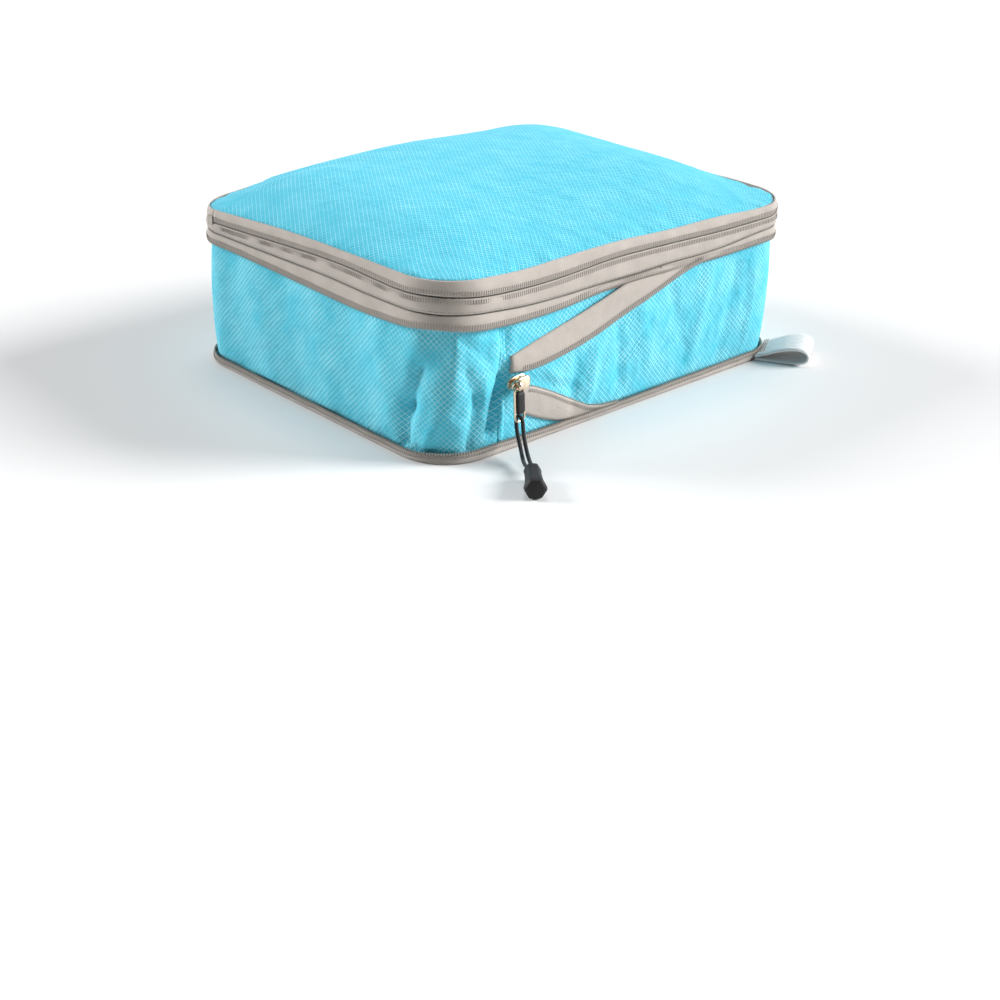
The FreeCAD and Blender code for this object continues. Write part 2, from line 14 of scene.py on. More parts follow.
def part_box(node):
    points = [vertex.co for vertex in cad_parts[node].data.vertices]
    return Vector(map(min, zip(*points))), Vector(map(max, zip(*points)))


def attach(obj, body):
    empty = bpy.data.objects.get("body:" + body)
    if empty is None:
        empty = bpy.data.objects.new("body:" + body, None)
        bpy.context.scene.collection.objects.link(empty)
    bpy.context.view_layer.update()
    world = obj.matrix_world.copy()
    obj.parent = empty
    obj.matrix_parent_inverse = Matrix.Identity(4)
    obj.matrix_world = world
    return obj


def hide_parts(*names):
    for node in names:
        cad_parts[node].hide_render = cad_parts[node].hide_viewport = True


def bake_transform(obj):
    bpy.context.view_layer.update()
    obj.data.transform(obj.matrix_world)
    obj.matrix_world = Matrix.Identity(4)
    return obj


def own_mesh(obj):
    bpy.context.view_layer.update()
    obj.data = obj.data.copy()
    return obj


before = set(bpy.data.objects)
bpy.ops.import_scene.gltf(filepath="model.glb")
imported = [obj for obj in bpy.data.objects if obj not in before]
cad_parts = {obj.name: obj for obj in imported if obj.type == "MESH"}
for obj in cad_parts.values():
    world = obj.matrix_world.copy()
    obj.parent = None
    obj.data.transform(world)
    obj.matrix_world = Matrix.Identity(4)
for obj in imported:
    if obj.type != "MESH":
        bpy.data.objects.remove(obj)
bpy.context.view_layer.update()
scene = bpy.context.scene
MM = 0.001


# ---------------------------------------------------------------- camera

YAW, PITCH, ROLL = math.radians(45.78), math.radians(26.54), math.radians(1.96)
CAMERA_PLACE = Vector((-557.7, -582.9, 308.4)) * MM
LENS, SENSOR = 54.43, 36.0


def make_camera():
    """The camera stands off the front left corner and looks down on the cube."""
    ahead = Vector((math.cos(YAW) * math.cos(PITCH), math.sin(YAW) * math.cos(PITCH), -math.sin(PITCH)))
    right = Vector((math.sin(YAW), -math.cos(YAW), 0.0))
    up = right.cross(ahead)
    across = right * math.cos(ROLL) + up * math.sin(ROLL)
    above = up * math.cos(ROLL) - right * math.sin(ROLL)
    camera = bpy.data.objects.new("camera", bpy.data.cameras.new("camera"))
    scene.collection.objects.link(camera)
    turn = Matrix((across, above, -ahead)).transposed().to_4x4()
    camera.matrix_world = Matrix.Translation(CAMERA_PLACE) @ turn
    camera.data.sensor_width = SENSOR
    camera.data.lens = LENS
    scene.camera = camera


# ---------------------------------------------------------------- outline and heights

def span(node):
    """A CAD node's lowest and highest corner in millimetres."""
    low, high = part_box(node)
    return low / MM, high / MM


HALF_X, HALF_Y = span("gusset_strip")[1].x + 0.7, span("gusset_strip")[1].y + 0.7
CORNER = 27.0
SIDES = (2 * (HALF_X - CORNER), 2 * (HALF_Y - CORNER)) * 2
ARC = math.pi / 2 * CORNER
AROUND = sum(SIDES) + 4 * ARC
SEAM_X = sum(v.x for v in span("gusset_seam")) / 2
START = SEAM_X + HALF_X - CORNER
SIDE_START = [sum(SIDES[:k]) + k * ARC - START for k in range(4)]


def front(x):
    """The distance s of a place on the front wall."""
    return SIDE_START[0] + x + HALF_X - CORNER


def right(y):
    """The distance s of a place on the right wall."""
    return SIDE_START[1] + y + HALF_Y - CORNER


def back(x):
    """The distance s of a place on the back wall."""
    return SIDE_START[2] - x + HALF_X - CORNER


def left(y):
    """The distance s of a place on the left wall."""
    return SIDE_START[3] - y + HALF_Y - CORNER


def outline(s, offset=0.0):
    """Points (x, y) on the outline moved outwards by an offset, and the outward normals."""
    t = np.mod(np.asarray(s, float) + START, AROUND)
    x, y, nx, ny = (np.zeros_like(t) for _ in range(4))
    starts = [(CORNER - HALF_X, -HALF_Y), (HALF_X, CORNER - HALF_Y), (HALF_X - CORNER, HALF_Y),
              (-HALF_X, HALF_Y - CORNER)]
    begin = 0.0
    for side, (px, py) in enumerate(starts):
        turn = math.pi / 2 * side
        dx, dy = math.cos(turn), math.sin(turn)
        on = (t >= begin) & (t <= begin + SIDES[side])
        along = t[on] - begin
        x[on], y[on], nx[on], ny[on] = px + dx * along, py + dy * along, dy, -dx
        begin += SIDES[side]
        on = (t > begin) & (t <= begin + ARC)
        angle = turn - math.pi / 2 + (t[on] - begin) / CORNER
        cx, cy = px + dx * SIDES[side] - dy * CORNER, py + dy * SIDES[side] + dx * CORNER
        nx[on], ny[on] = np.cos(angle), np.sin(angle)
        x[on], y[on] = cx + CORNER * nx[on], cy + CORNER * ny[on]
        begin += ARC
    return x + nx * offset, y + ny * offset, nx, ny


def closed_curve(points, blur=9.0):
    """A smooth closed curve of values round the outline, from a few (s, value) points."""
    places = np.array([p[0] for p in points]) % AROUND
    values = np.array([p[1] for p in points], float)
    order = np.argsort(places)
    places, values = places[order], values[order]
    grid = np.linspace(-AROUND, 2 * AROUND, 3 * 900 + 1)
    whole = np.interp(grid, np.concatenate([places - AROUND, places, places + AROUND]), np.tile(values, 3))
    step = grid[1] - grid[0]
    reach = np.arange(-int(3 * blur / step), int(3 * blur / step) + 1) * step
    weight = np.exp(-0.5 * (reach / blur) ** 2)
    smooth = np.convolve(whole, weight / weight.sum(), mode="same")
    return lambda s: np.interp(np.mod(s, AROUND), grid, smooth)


# Heights of the band's four edges round the cube: its top, the main zip, the seam and its bottom.
BAND_TOP = closed_curve([
    (front(-107), 91.2), (front(-82), 89.6), (front(-50), 91.0), (front(-13), 91.8), (front(26), 90.3),
    (front(63), 90.7), (front(95), 88.8), (right(-60), 91.2), (right(0), 90.0), (right(60), 91.2),
    (back(90), 90.2), (back(0), 92.0), (back(-80), 89.6), (back(-103), 86.0), (left(92), 85.6),
    (left(60), 87.6), (left(19), 90.2), (left(-14), 90.9), (left(-44), 91.1), (left(-88), 91.2)])
ZIP_LINE = closed_curve([
    (front(-110), 83.0), (front(-96), 81.4), (front(-67), 80.9), (front(-43), 82.0), (front(-20), 84.0),
    (front(9), 83.7), (front(38), 83.1), (front(64), 82.4), (front(96), 82.8), (right(-60), 84.0),
    (right(0), 83.4), (right(60), 83.8), (right(72), 83.8), (back(90), 83.6), (back(0), 84.2),
    (back(-90), 83.4), (left(82), 79.6), (left(45), 81.4), (left(7), 83.4), (left(-21), 84.6),
    (left(-40), 84.5), (left(-70), 83.0), (left(-92), 84.2)])
SEAM_LINE = closed_curve([
    (front(-107), 74.6), (front(-81), 71.8), (front(-54), 71.5), (front(-26), 72.2), (front(3), 72.2),
    (front(30), 73.0), (front(50), 72.2), (front(74), 73.4), (front(103), 76.4), (right(-60), 75.4),
    (right(0), 74.8), (right(60), 75.2), (back(90), 75.0), (back(0), 75.6), (back(-90), 74.6),
    (left(82), 74.2), (left(45), 74.6), (left(7), 75.2), (left(-21), 75.6), (left(-50), 74.6),
    (left(-92), 75.2)])
BAND_BOTTOM = closed_curve([
    (front(-106), 66.4), (front(-81), 65.2), (front(-54), 65.6), (front(-35), 67.8), (front(-20), 69.2),
    (front(-5), 69.6), (front(12), 69.4), (front(30), 69.0), (front(61), 68.6), (front(86), 69.2),
    (front(107), 70.2), (right(-60), 66.8), (right(0), 66.0), (right(60), 66.6), (back(90), 66.2),
    (back(0), 67.0), (back(-90), 66.4), (left(80), 68.6), (left(55), 68.6), (left(20), 67.6),
    (left(-13), 66.5), (left(-44), 65.6), (left(-74), 66.8), (left(-92), 69.0)])
RIM_TOP = closed_curve([
    (front(-118), 5.2), (front(-100), 5.6), (front(-70), 4.4), (front(-10), 3.8), (front(30), 4.4),
    (front(70), 4.8), (front(110), 5.2), (right(0), 3.8), (back(0), 4.0), (left(80), 3.6), (left(0), 4.0),
    (left(-70), 3.8), (left(-95), 5.0)])


# ---------------------------------------------------------------- meshes

def new_object(name, data):
    """A new object in the scene."""
    made = bpy.data.objects.new(name, data)
    scene.collection.objects.link(made)
    return made


def publish(name, body, look, replaced=()):
    """Hand one finished object to the frame: its material, its body and what it stands for."""
    piece = bpy.data.objects[name]
    piece.data.materials.clear()
    piece.data.materials.append(MATERIALS[look])
    for face in piece.data.polygons:
        face.use_smooth = True
    if body:
        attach(piece, body)
    if replaced:
        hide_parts(*replaced)
    return piece


def mesh_object(name, points, faces, loops=None):
    """A new object from points in millimetres, with its own weave coordinates where they are given."""
    mesh = bpy.data.meshes.new(name)
    mesh.from_pydata([tuple(p) for p in np.asarray(points, float) * MM], [], [tuple(f) for f in faces])
    if loops is not None:
        layer = mesh.uv_layers.new(name="weave")
        layer.data.foreach_set("uv", np.asarray(loops, np.float32).ravel())
    mesh.validate()
    mesh.update()
    return new_object(name, mesh)


def lattice(columns, rows, closed):
    """The quads of a grid of points, and the same quads' own (u, v) corners."""
    wide = columns if closed else columns + 1
    i, j = np.meshgrid(np.arange(columns), np.arange(rows), indexing="ij")
    i, j = i.ravel(), j.ravel()
    corners = [(i, j), (i + 1, j), (i + 1, j + 1), (i, j + 1)]
    faces = np.stack([(a % wide) * (rows + 1) + b for a, b in corners], 1)
    uv = np.stack([np.stack([a / columns, b / rows], 1) for a, b in corners], 1)
    return faces, uv.reshape(-1, 2)


def cloth_grid(name, columns, rows, place, weave, closed=False):
    """A grid of cloth: place(u, v) gives points, weave(u, v) the coordinates of its weave in cm."""
    wide = columns if closed else columns + 1
    u, v = np.meshgrid(np.arange(wide) / columns, np.arange(rows + 1) / rows, indexing="ij")
    faces, corners = lattice(columns, rows, closed)
    points = place(u.ravel(), v.ravel())
    return mesh_object(name, points, faces, weave(corners[:, 0], corners[:, 1]))


def turned(x, y, degrees=45.0):
    """Weave coordinates turned by an angle."""
    turn = math.radians(degrees)
    return np.stack([x * math.cos(turn) + y * math.sin(turn), y * math.cos(turn) - x * math.sin(turn)], 1)


def thicken(piece, thickness, offset=-1.0):
    """Give a sheet its thickness and keep its rim closed."""
    shell = piece.modifiers.new("thickness", "SOLIDIFY")
    shell.thickness = thickness * MM
    shell.offset = offset
    shell.use_rim = True
    bake(piece)


def bake(piece):
    """Apply every modifier of a piece to its mesh."""
    view = bpy.context.evaluated_depsgraph_get()
    mesh = bpy.data.meshes.new_from_object(piece.evaluated_get(view))
    piece.modifiers.clear()
    piece.data = mesh


def coordinates(piece):
    """A piece's points in millimetres as an array."""
    values = np.zeros(len(piece.data.vertices) * 3)
    piece.data.vertices.foreach_get("co", values)
    return values.reshape(-1, 3) / MM


def set_coordinates(piece, points):
    """Move a piece's points to these places in millimetres."""
    piece.data.vertices.foreach_set("co", (np.asarray(points) * MM).astype(np.float32).ravel())
    piece.data.update()


def tube(rings, sides, base=0, closed=False):
    """The faces of a tube of rings of points, with a cap at each end unless it closes on itself."""
    faces, whole = [], rings * sides
    for ring in range(rings if closed else rings - 1):
        for k in range(sides):
            a, b = ring * sides + k, ring * sides + (k + 1) % sides
            faces.append((base + a, base + b, base + (b + sides) % whole, base + (a + sides) % whole))
    if not closed:
        faces.append(tuple(base + k for k in reversed(range(sides))))
        faces.append(tuple(base + whole - sides + k for k in range(sides)))
    return faces


def rods(name, ends, radius, sides=6, flatten=1.0):
    """Many short round-ended rods in one mesh, each from one point to another in millimetres."""
    points, faces = [], []
    rings = ((0.0, 0.45), (0.12, 1.0), (0.88, 1.0), (1.0, 0.45))
    for start, end, normal in ends:
        axis = end - start
        axis_length = np.linalg.norm(axis)
        axis = axis / axis_length
        side = np.cross(axis, normal)
        side /= np.linalg.norm(side)
        lift = np.cross(side, axis)
        base = len(points)
        for share, width in rings:
            for k in range(sides):
                angle = 2 * math.pi * k / sides
                points.append(start + axis * (axis_length * share)
                              + side * (radius * width * math.cos(angle))
                              + lift * (radius * width * flatten * math.sin(angle)))
        faces += tube(len(rings), sides, base)
    mesh_object(name, points, faces)


WIRE_SIDES = 12


def swept(name, path, section, closed=False):
    """A tube or bar: a section of (across, up) points carried along a path of (point, across, up)."""
    points = []
    for point, across, up in path:
        points += [point + across * a + up * b for a, b in section]
    return mesh_object(name, points, tube(len(path), len(section), closed=closed))


def circle(radius):
    """A round section."""
    turns = [2 * math.pi * k / WIRE_SIDES for k in range(WIRE_SIDES)]
    return [(radius * math.cos(turn), radius * math.sin(turn)) for turn in turns]


# ---------------------------------------------------------------- materials

GRID_PITCH = 0.21
GRID_LINE, HALF_LINE = 0.03, 0.012


class Nodes:
    """Builds a material's node tree step by step."""

    def __init__(self, name, roughness, sheen=0.0, metallic=0.0, specular=0.5):
        self.material = bpy.data.materials.new(name)
        self.material.use_nodes = True
        self.tree = self.material.node_tree
        self.shader = self.tree.nodes["Principled BSDF"]
        self.shader.inputs["Roughness"].default_value = roughness
        self.shader.inputs["Metallic"].default_value = metallic
        self.shader.inputs["Specular IOR Level"].default_value = specular
        self.shader.inputs["Sheen Weight"].default_value = sheen
        self.shader.inputs["Sheen Roughness"].default_value = 0.4

    def add(self, kind, settings=None, **inputs):
        """Add a node, set its properties, and set or link its inputs."""
        node = self.tree.nodes.new(kind)
        for key, value in (settings or {}).items():
            setattr(node, key, value)
        for key, value in inputs.items():
            socket = node.inputs[int(key[1:])] if key[0] == "_" and key[1:].isdigit() else node.inputs[key]
            if isinstance(value, bpy.types.NodeSocket):
                self.tree.links.new(value, socket)
            else:
                socket.default_value = value
        return node

    def math(self, operation, a, b=0.0, c=0.0):
        """A maths node's result."""
        return self.add("ShaderNodeMath", {"operation": operation}, _0=a, _1=b, _2=c).outputs[0]

    def weave(self):
        """The x and y of the piece's own weave coordinates, in cm."""
        uv = self.add("ShaderNodeUVMap", {"uv_map": "weave"}).outputs[0]
        parts = self.add("ShaderNodeSeparateXYZ", None, _0=uv)
        return uv, parts.outputs[0], parts.outputs[1]

    def line(self, value, pitch, width):
        """1 on evenly spaced lines and 0 between them; value, pitch and width in cm."""
        cell = self.math("FRACT", self.math("DIVIDE", value, pitch))
        away = self.math("ABSOLUTE", self.math("SUBTRACT", cell, 0.5))
        edge = 0.5 - width / pitch
        return self.add("ShaderNodeMapRange", {"interpolation_type": "SMOOTHSTEP"}, _0=away, _1=edge,
                        _2=0.5, _3=0.0, _4=1.0).outputs[0]

    def noise(self, vector, scale, detail=3.0, roughness=0.5):
        """A noise value."""
        return self.add("ShaderNodeTexNoise", None, Vector=vector, Scale=scale, Detail=detail,
                        Roughness=roughness).outputs[0]

    def mix(self, share, low, high):
        """A colour between two colours."""
        node = self.add("ShaderNodeMix", {"data_type": "RGBA"})
        for index, value in ((0, share), (6, low), (7, high)):
            if isinstance(value, bpy.types.NodeSocket):
                self.tree.links.new(value, node.inputs[index])
            elif index:
                node.inputs[index].default_value = (*value, 1.0)
            else:
                node.inputs[index].default_value = value
        return node.outputs[2]

    def colour(self, socket):
        """Link the base colour."""
        self.tree.links.new(socket, self.shader.inputs["Base Color"])

    def roughness(self, socket):
        """Link the roughness."""
        self.tree.links.new(socket, self.shader.inputs["Roughness"])

    def bump(self, height, distance):
        """Link a bump whose height of 1 stands for a distance in mm."""
        bump = self.add("ShaderNodeBump", None, Height=height, Distance=distance * MM, Strength=1.0)
        self.tree.links.new(bump.outputs[0], self.shader.inputs["Normal"])


def ripstop(name, base, thread, faded, shine=1.0):
    """Thin coated nylon with a raised grid of thicker threads, faintly creased all over, with painted
    glints: the grid lines are lightened towards the thread colour in noisy patches.
    """
    make = Nodes(name, 0.7, sheen=0.1, specular=0.14)
    uv, x, y = make.weave()
    grid = make.math("MAXIMUM", make.line(x, GRID_PITCH, GRID_LINE),
                     make.line(y, GRID_PITCH, GRID_LINE))
    half = make.math("MAXIMUM", make.line(x, GRID_PITCH / 2, HALF_LINE),
                     make.line(y, GRID_PITCH / 2, HALF_LINE))
    # painted highlight: where this noise is high the grid threads get painted glints; shine sets how strong
    # they are
    painted_glint = make.math("MULTIPLY_ADD", make.noise(uv, 0.6, 3.0), 2.2 * shine, 0.45 - 0.95 * shine)
    lines = make.math("MULTIPLY_ADD", half, 0.25, make.math("MULTIPLY", grid, 0.85))
    share = make.math("MINIMUM", make.math("MULTIPLY", lines, painted_glint), 1.0)
    cloth = make.mix(make.noise(uv, 0.35, 4.0), base, faded)
    # the thread colour is a painted glint on the grid threads, mixed in where the painted glints fall, not
    # the threads' own colour
    make.colour(make.mix(make.math("MAXIMUM", share, 0.0), cloth, thread))
    make.roughness(make.math("MULTIPLY_ADD", grid, -0.15, 0.72))
    creases = make.noise(uv, 0.9, 5.0, 0.62)
    fine = make.math("MULTIPLY", make.math("SINE", make.math("MULTIPLY", x, 190.0)),
                     make.math("SINE", make.math("MULTIPLY", y, 190.0)))
    height = make.math("ADD", make.math("MULTIPLY", grid, 0.16),
                       make.math("ADD", make.math("MULTIPLY", creases, 2.3),
                                 make.math("MULTIPLY", fine, 0.03)))
    make.bump(height, 0.9)
    return make.material


def tape_cloth(name, base, dark, twill=0.09):
    """Woven zip tape: a fine diagonal twill with a little wear."""
    make = Nodes(name, 0.78, sheen=0.2, specular=0.25)
    uv, x, y = make.weave()
    diagonal = make.line(make.math("ADD", x, y), twill, twill * 0.42)
    counter = make.line(make.math("SUBTRACT", x, y), twill * 1.6, twill * 0.4)
    ribs = make.math("MULTIPLY_ADD", counter, 0.4, make.math("MULTIPLY", diagonal, 0.6))
    worn = make.noise(uv, 1.1, 5.0, 0.6)
    share = make.math("MULTIPLY_ADD", ribs, 0.35, make.math("MULTIPLY_ADD", worn, 0.7, -0.15))
    make.colour(make.mix(make.math("MINIMUM", make.math("MAXIMUM", share, 0.0), 1.0), dark, base))
    make.bump(make.math("MULTIPLY_ADD", ribs, 0.5, make.math("MULTIPLY", worn, 2.0)), 0.28)
    return make.material


def moulded(name, base, edge, roughness, metallic=0.0, grain=900.0, relief=0.03, specular=0.5):
    """Moulded plastic or plated metal: small mottling in colour and gloss, and a fine grain."""
    make = Nodes(name, roughness, metallic=metallic, specular=specular)
    place = make.add("ShaderNodeTexCoord").outputs["Object"]
    mottled = make.noise(place, grain * 0.25, 4.0)
    make.colour(make.mix(mottled, base, edge))
    make.roughness(make.math("MULTIPLY_ADD", mottled, 0.16, roughness - 0.08))
    make.bump(make.noise(place, grain, 2.0), relief)
    return make.material


def braided(name, base, edge):
    """A cord's braid: crossed strands round a thin line."""
    make = Nodes(name, 0.7, sheen=0.3, specular=0.3)
    place = make.add("ShaderNodeTexCoord").outputs["Object"]
    cells = make.add("ShaderNodeTexVoronoi", {"feature": "F1"}, Vector=place, Scale=1500.0).outputs[0]
    make.colour(make.mix(cells, base, edge))
    make.bump(cells, 0.25)
    return make.material


def thread_cloth(name, base, edge):
    """Sewing thread: twisted, slightly shiny."""
    make = Nodes(name, 0.6, sheen=0.2, specular=0.35)
    place = make.add("ShaderNodeTexCoord").outputs["Object"]
    twist = make.noise(place, 2200.0, 2.0)
    make.colour(make.mix(twist, base, edge))
    make.bump(twist, 0.05)
    return make.material


def ribbed_webbing(name, base, dark):
    """Flat webbing with ribs along its length."""
    make = Nodes(name, 0.7, sheen=0.3, specular=0.3)
    uv, x, y = make.weave()
    ribs = make.line(y, 0.22, 0.09)
    cross = make.line(x, 0.07, 0.03)
    height = make.math("MULTIPLY_ADD", ribs, 0.7, make.math("MULTIPLY", cross, 0.3))
    worn = make.noise(uv, 1.3, 4.0)
    share = make.math("MULTIPLY_ADD", height, 0.5, make.math("MULTIPLY", worn, 0.5))
    make.colour(make.mix(share, dark, base))
    make.bump(height, 0.35)
    return make.material


MATERIALS = {
    # the second colour of each ripstop is the painted glint of its grid threads
    "fabric": ripstop("ripstop_nylon", (0.035, 0.46, 0.62), (0.50, 0.88, 0.93), (0.075, 0.53, 0.68)),
    "lid": ripstop("ripstop_lid", (0.040, 0.46, 0.63), (0.44, 0.82, 0.90), (0.065, 0.51, 0.68), 0.6),
    "tape": tape_cloth("zip_tape_weave", (0.54, 0.495, 0.45), (0.37, 0.33, 0.295)),
    "binding": tape_cloth("seam_binding", (0.45, 0.425, 0.39), (0.30, 0.28, 0.255), 0.14),
    "coil": moulded("nylon_coil", (0.40, 0.355, 0.31), (0.26, 0.23, 0.20), 0.45),
    "stitch": thread_cloth("stitching", (0.31, 0.27, 0.24), (0.20, 0.175, 0.155)),
    "webbing": ribbed_webbing("loop_webbing", (0.86, 0.855, 0.85), (0.68, 0.67, 0.66)),
    "metal": moulded("plated_slider", (0.80, 0.67, 0.52), (0.58, 0.44, 0.31), 0.26, metallic=1.0,
                     relief=0.02),
    "rubber": moulded("pull_rubber", (0.010, 0.009, 0.010), (0.022, 0.021, 0.023), 0.6, relief=0.05,
                      specular=0.28),
    "braid": braided("cord_braid", (0.006, 0.006, 0.008), (0.03, 0.03, 0.034)),
}


# ---------------------------------------------------------------- cloth

# Thin nylon: mass of a point, resistance to stretch, shear and bending, and damping.
CLOTH_MASS, CLOTH_STRETCH, CLOTH_SHEAR, CLOTH_BEND, CLOTH_DAMPING = 0.06, 12.0, 6.0, 0.06, 6.0
FABRIC_THICK, BINDING_THICK, TAPE_THICK = 0.5, 0.4, 0.6


def settle(piece, held, slack, frames, pressure, reach):
    """Let a sheet settle as cloth.

    held is how firmly each point stays (0 to 1), slack the share by which the cloth is too large at
    each point, and no point moves further than reach millimetres.
    """
    before = coordinates(piece)
    pins = piece.vertex_groups.new(name="held")
    loose = piece.vertex_groups.new(name="slack")
    largest = float(np.max(slack))
    for index in range(len(before)):
        if held[index] > 0:
            pins.add([index], float(held[index]), "REPLACE")
        loose.add([index], float(slack[index] / largest), "REPLACE")
    cloth = piece.modifiers.new("cloth", "CLOTH")
    use = cloth.settings
    use.quality = 7
    use.mass = CLOTH_MASS
    use.tension_stiffness = use.compression_stiffness = CLOTH_STRETCH
    use.shear_stiffness = CLOTH_SHEAR
    use.bending_stiffness = CLOTH_BEND
    use.tension_damping = use.compression_damping = use.shear_damping = CLOTH_DAMPING
    use.vertex_group_mass = "held"
    use.pin_stiffness = 1.0
    use.vertex_group_shrink = "slack"
    use.shrink_min = 0.0
    use.shrink_max = -largest
    use.use_pressure = pressure != 0
    use.uniform_pressure_force = pressure
    use.effector_weights.gravity = 0.0
    cloth.collision_settings.use_collision = False
    cloth.point_cache.frame_start, cloth.point_cache.frame_end = 1, frames
    for number in range(1, frames + 1):
        scene.frame_set(number)
    shaped = piece.evaluated_get(bpy.context.evaluated_depsgraph_get())
    after = np.array([v.co for v in shaped.data.vertices]) / MM
    piece.modifiers.clear()
    piece.vertex_groups.clear()
    scene.frame_set(1)
    move = after - before
    far = np.linalg.norm(move, axis=1, keepdims=True)
    move *= np.minimum(1.0, reach / np.maximum(far, 1e-6))
    set_coordinates(piece, before + move)


def smooth_step(value, low, high):
    """0 below low, 1 above high, and an even curve between."""
    t = np.clip((value - low) / (high - low), 0.0, 1.0)
    return t * t * (3 - 2 * t)


def hill(value, centre, width):
    """A bell of height 1."""
    return np.exp(-0.5 * ((value - centre) / width) ** 2)


# ---------------------------------------------------------------- gusset

# The two tapes that run out from the start of the compression zip, as (x, z) on the front wall.
UPPER_TAPE = {"sewn": [(-86.5, 48.7), (-73.9, 51.9), (-61.6, 54.7), (-46.3, 58.1), (-26.4, 63.5),
                       (-8.0, 68.6), (14.0, 71.5), (30.0, 72.0)],
              "coil": [(-86.5, 40.3), (-77.0, 39.3), (-66.3, 39.5), (-52.3, 41.4), (-38.0, 43.9),
                       (-25.0, 47.2), (-0.7, 54.5), (13.4, 58.5), (27.9, 63.2), (37.7, 66.4), (52.0, 69.4)]}
LOWER_TAPE = {"sewn": [(-79.2, 17.7), (-64.5, 10.6), (-52.0, 5.8), (-42.0, 4.1), (-8.0, 3.8)],
              "coil": [(-79.2, 31.0), (-72.5, 30.3), (-58.2, 23.5), (-43.2, 15.1), (-31.5, 9.0),
                       (-20.0, 5.6), (-7.0, 4.6)]}
# The share of each tape's edge that the slider covers, where no teeth show.
FREE_OF_SLIDER = 0.055
GUSSET_LOW, GUSSET_HIGH = 3.6, 69.0
# Upright ripples of the three other walls, as (place along the wall, depth).
LEFT_RIPPLES = ((62, -1.1), (40, 0.8), (14, -1.2), (-12, 0.8), (-38, -1.0), (-60, 0.8))
RIGHT_RIPPLES = ((-60, 0.8), (-30, -1.3), (5, 0.9), (40, -1.2), (66, 0.8))
BACK_RIPPLES = ((95, -1.2), (60, 0.8), (20, -1.3), (-25, 0.9), (-70, -1.3), (-100, 0.8))


def curve_through(points, share):
    """A smooth curve through (x, z) points, by share of its length."""
    points = np.array(points, float)
    steps = np.concatenate([[0.0], np.cumsum(np.linalg.norm(np.diff(points, axis=0), axis=1))])
    dense = np.linspace(0, steps[-1], 200)
    x, z = np.interp(dense, steps, points[:, 0]), np.interp(dense, steps, points[:, 1])
    kernel = np.hanning(31)
    kernel /= kernel.sum()
    pad = 15
    x, z = (np.convolve(np.concatenate([2 * a[0] - a[pad:0:-1], a, 2 * a[-1] - a[-2:-pad - 2:-1]]), kernel,
                        mode="valid") for a in (x, z))
    return np.interp(share, dense / steps[-1], x), np.interp(share, dense / steps[-1], z)


# Folds at the front left corner: (c, z) from and to, half width and depth, where c is the
# distance round the wall from the middle of that corner, positive towards the slider.
CORNER_FOLDS = [
    ((-13, 46), (-19, 26), 4.6, -4.2), ((-19, 26), (-22, 6), 4.2, -3.8), ((7, 68), (5, 34), 3.0, 1.4),
    ((5, 34), (-9, 8), 3.0, 2.2), ((12, 46), (19, 28), 2.4, -1.9), ((18, 32), (14, 6), 2.6, -2.6),
    ((22, 42), (24, 10), 2.4, 1.5), ((34, 38), (27, 12), 3.2, -6.4), ((30, 58), (37, 46), 2.4, 1.2),
    ((-2, 27), (10, 17), 2.4, 1.3), ((-40, 60), (-31, 20), 6.0, 0.9), ((9, 62), (24, 50), 2.4, -1.4),
    ((-15, 4), (-4, 4), 3.4, -3.6), ((-39, 4), (-33, 4), 2.6, -2.6), ((-74, 4), (-70, 4), 2.6, -2.2),
]
# Folds of the front wall right of the slider, as (x, z) from and to, half width and depth.
FRONT_FOLDS = [
    ((-74, 34), (-40, 20), 2.4, -1.5), ((-39, 34), (-41, 12), 4.0, -1.6), ((-26, 38), (-29, 10), 3.0, 1.2),
    ((-10, 46), (-6, 14), 3.4, -1.5), ((8, 52), (16, 20), 5.0, 1.0), ((14, 44), (-10, 22), 2.6, -0.9),
    ((30, 58), (44, 20), 5.5, -1.2), ((62, 64), (50, 14), 5.0, 0.9), ((84, 60), (76, 10), 5.0, -1.3),
    ((100, 62), (97, 14), 4.0, 0.9), ((-60, 36), (-52, 26), 2.2, 0.9),
]


def fold(a, b, start, end, width):
    """A long soft fold of height 1 along a line, with a sharper crest than a bell has."""
    (ax, ay), (bx, by) = start, end
    length = math.hypot(bx - ax, by - ay)
    along = np.clip(((a - ax) * (bx - ax) + (b - ay) * (by - ay)) / length ** 2, 0.0, 1.0)
    away = np.hypot(a - ax - along * (bx - ax), b - ay - along * (by - ay))
    return (1.0 + (away / width) ** 2) ** -1.5


def from_corner(s):
    """The signed distance round the wall from the middle of the front left corner."""
    return np.mod(s + ARC / 2 + START + AROUND / 2, AROUND) - AROUND / 2


def corner_facet(corner, z):
    """How deep the front left corner's round is pulled flat near its top, where the cloth is taut."""
    higher = smooth_step(z, 40.0, 58.0)
    middle, half = -10.0 + 6.5 * higher, 6.5 + 3.0 * higher
    facet = np.maximum(0.0, 1 - ((corner - middle) / half) ** 2) * smooth_step(z, 24.0, 40.0)
    return -1.25 * half ** 2 / (2 * CORNER) * facet


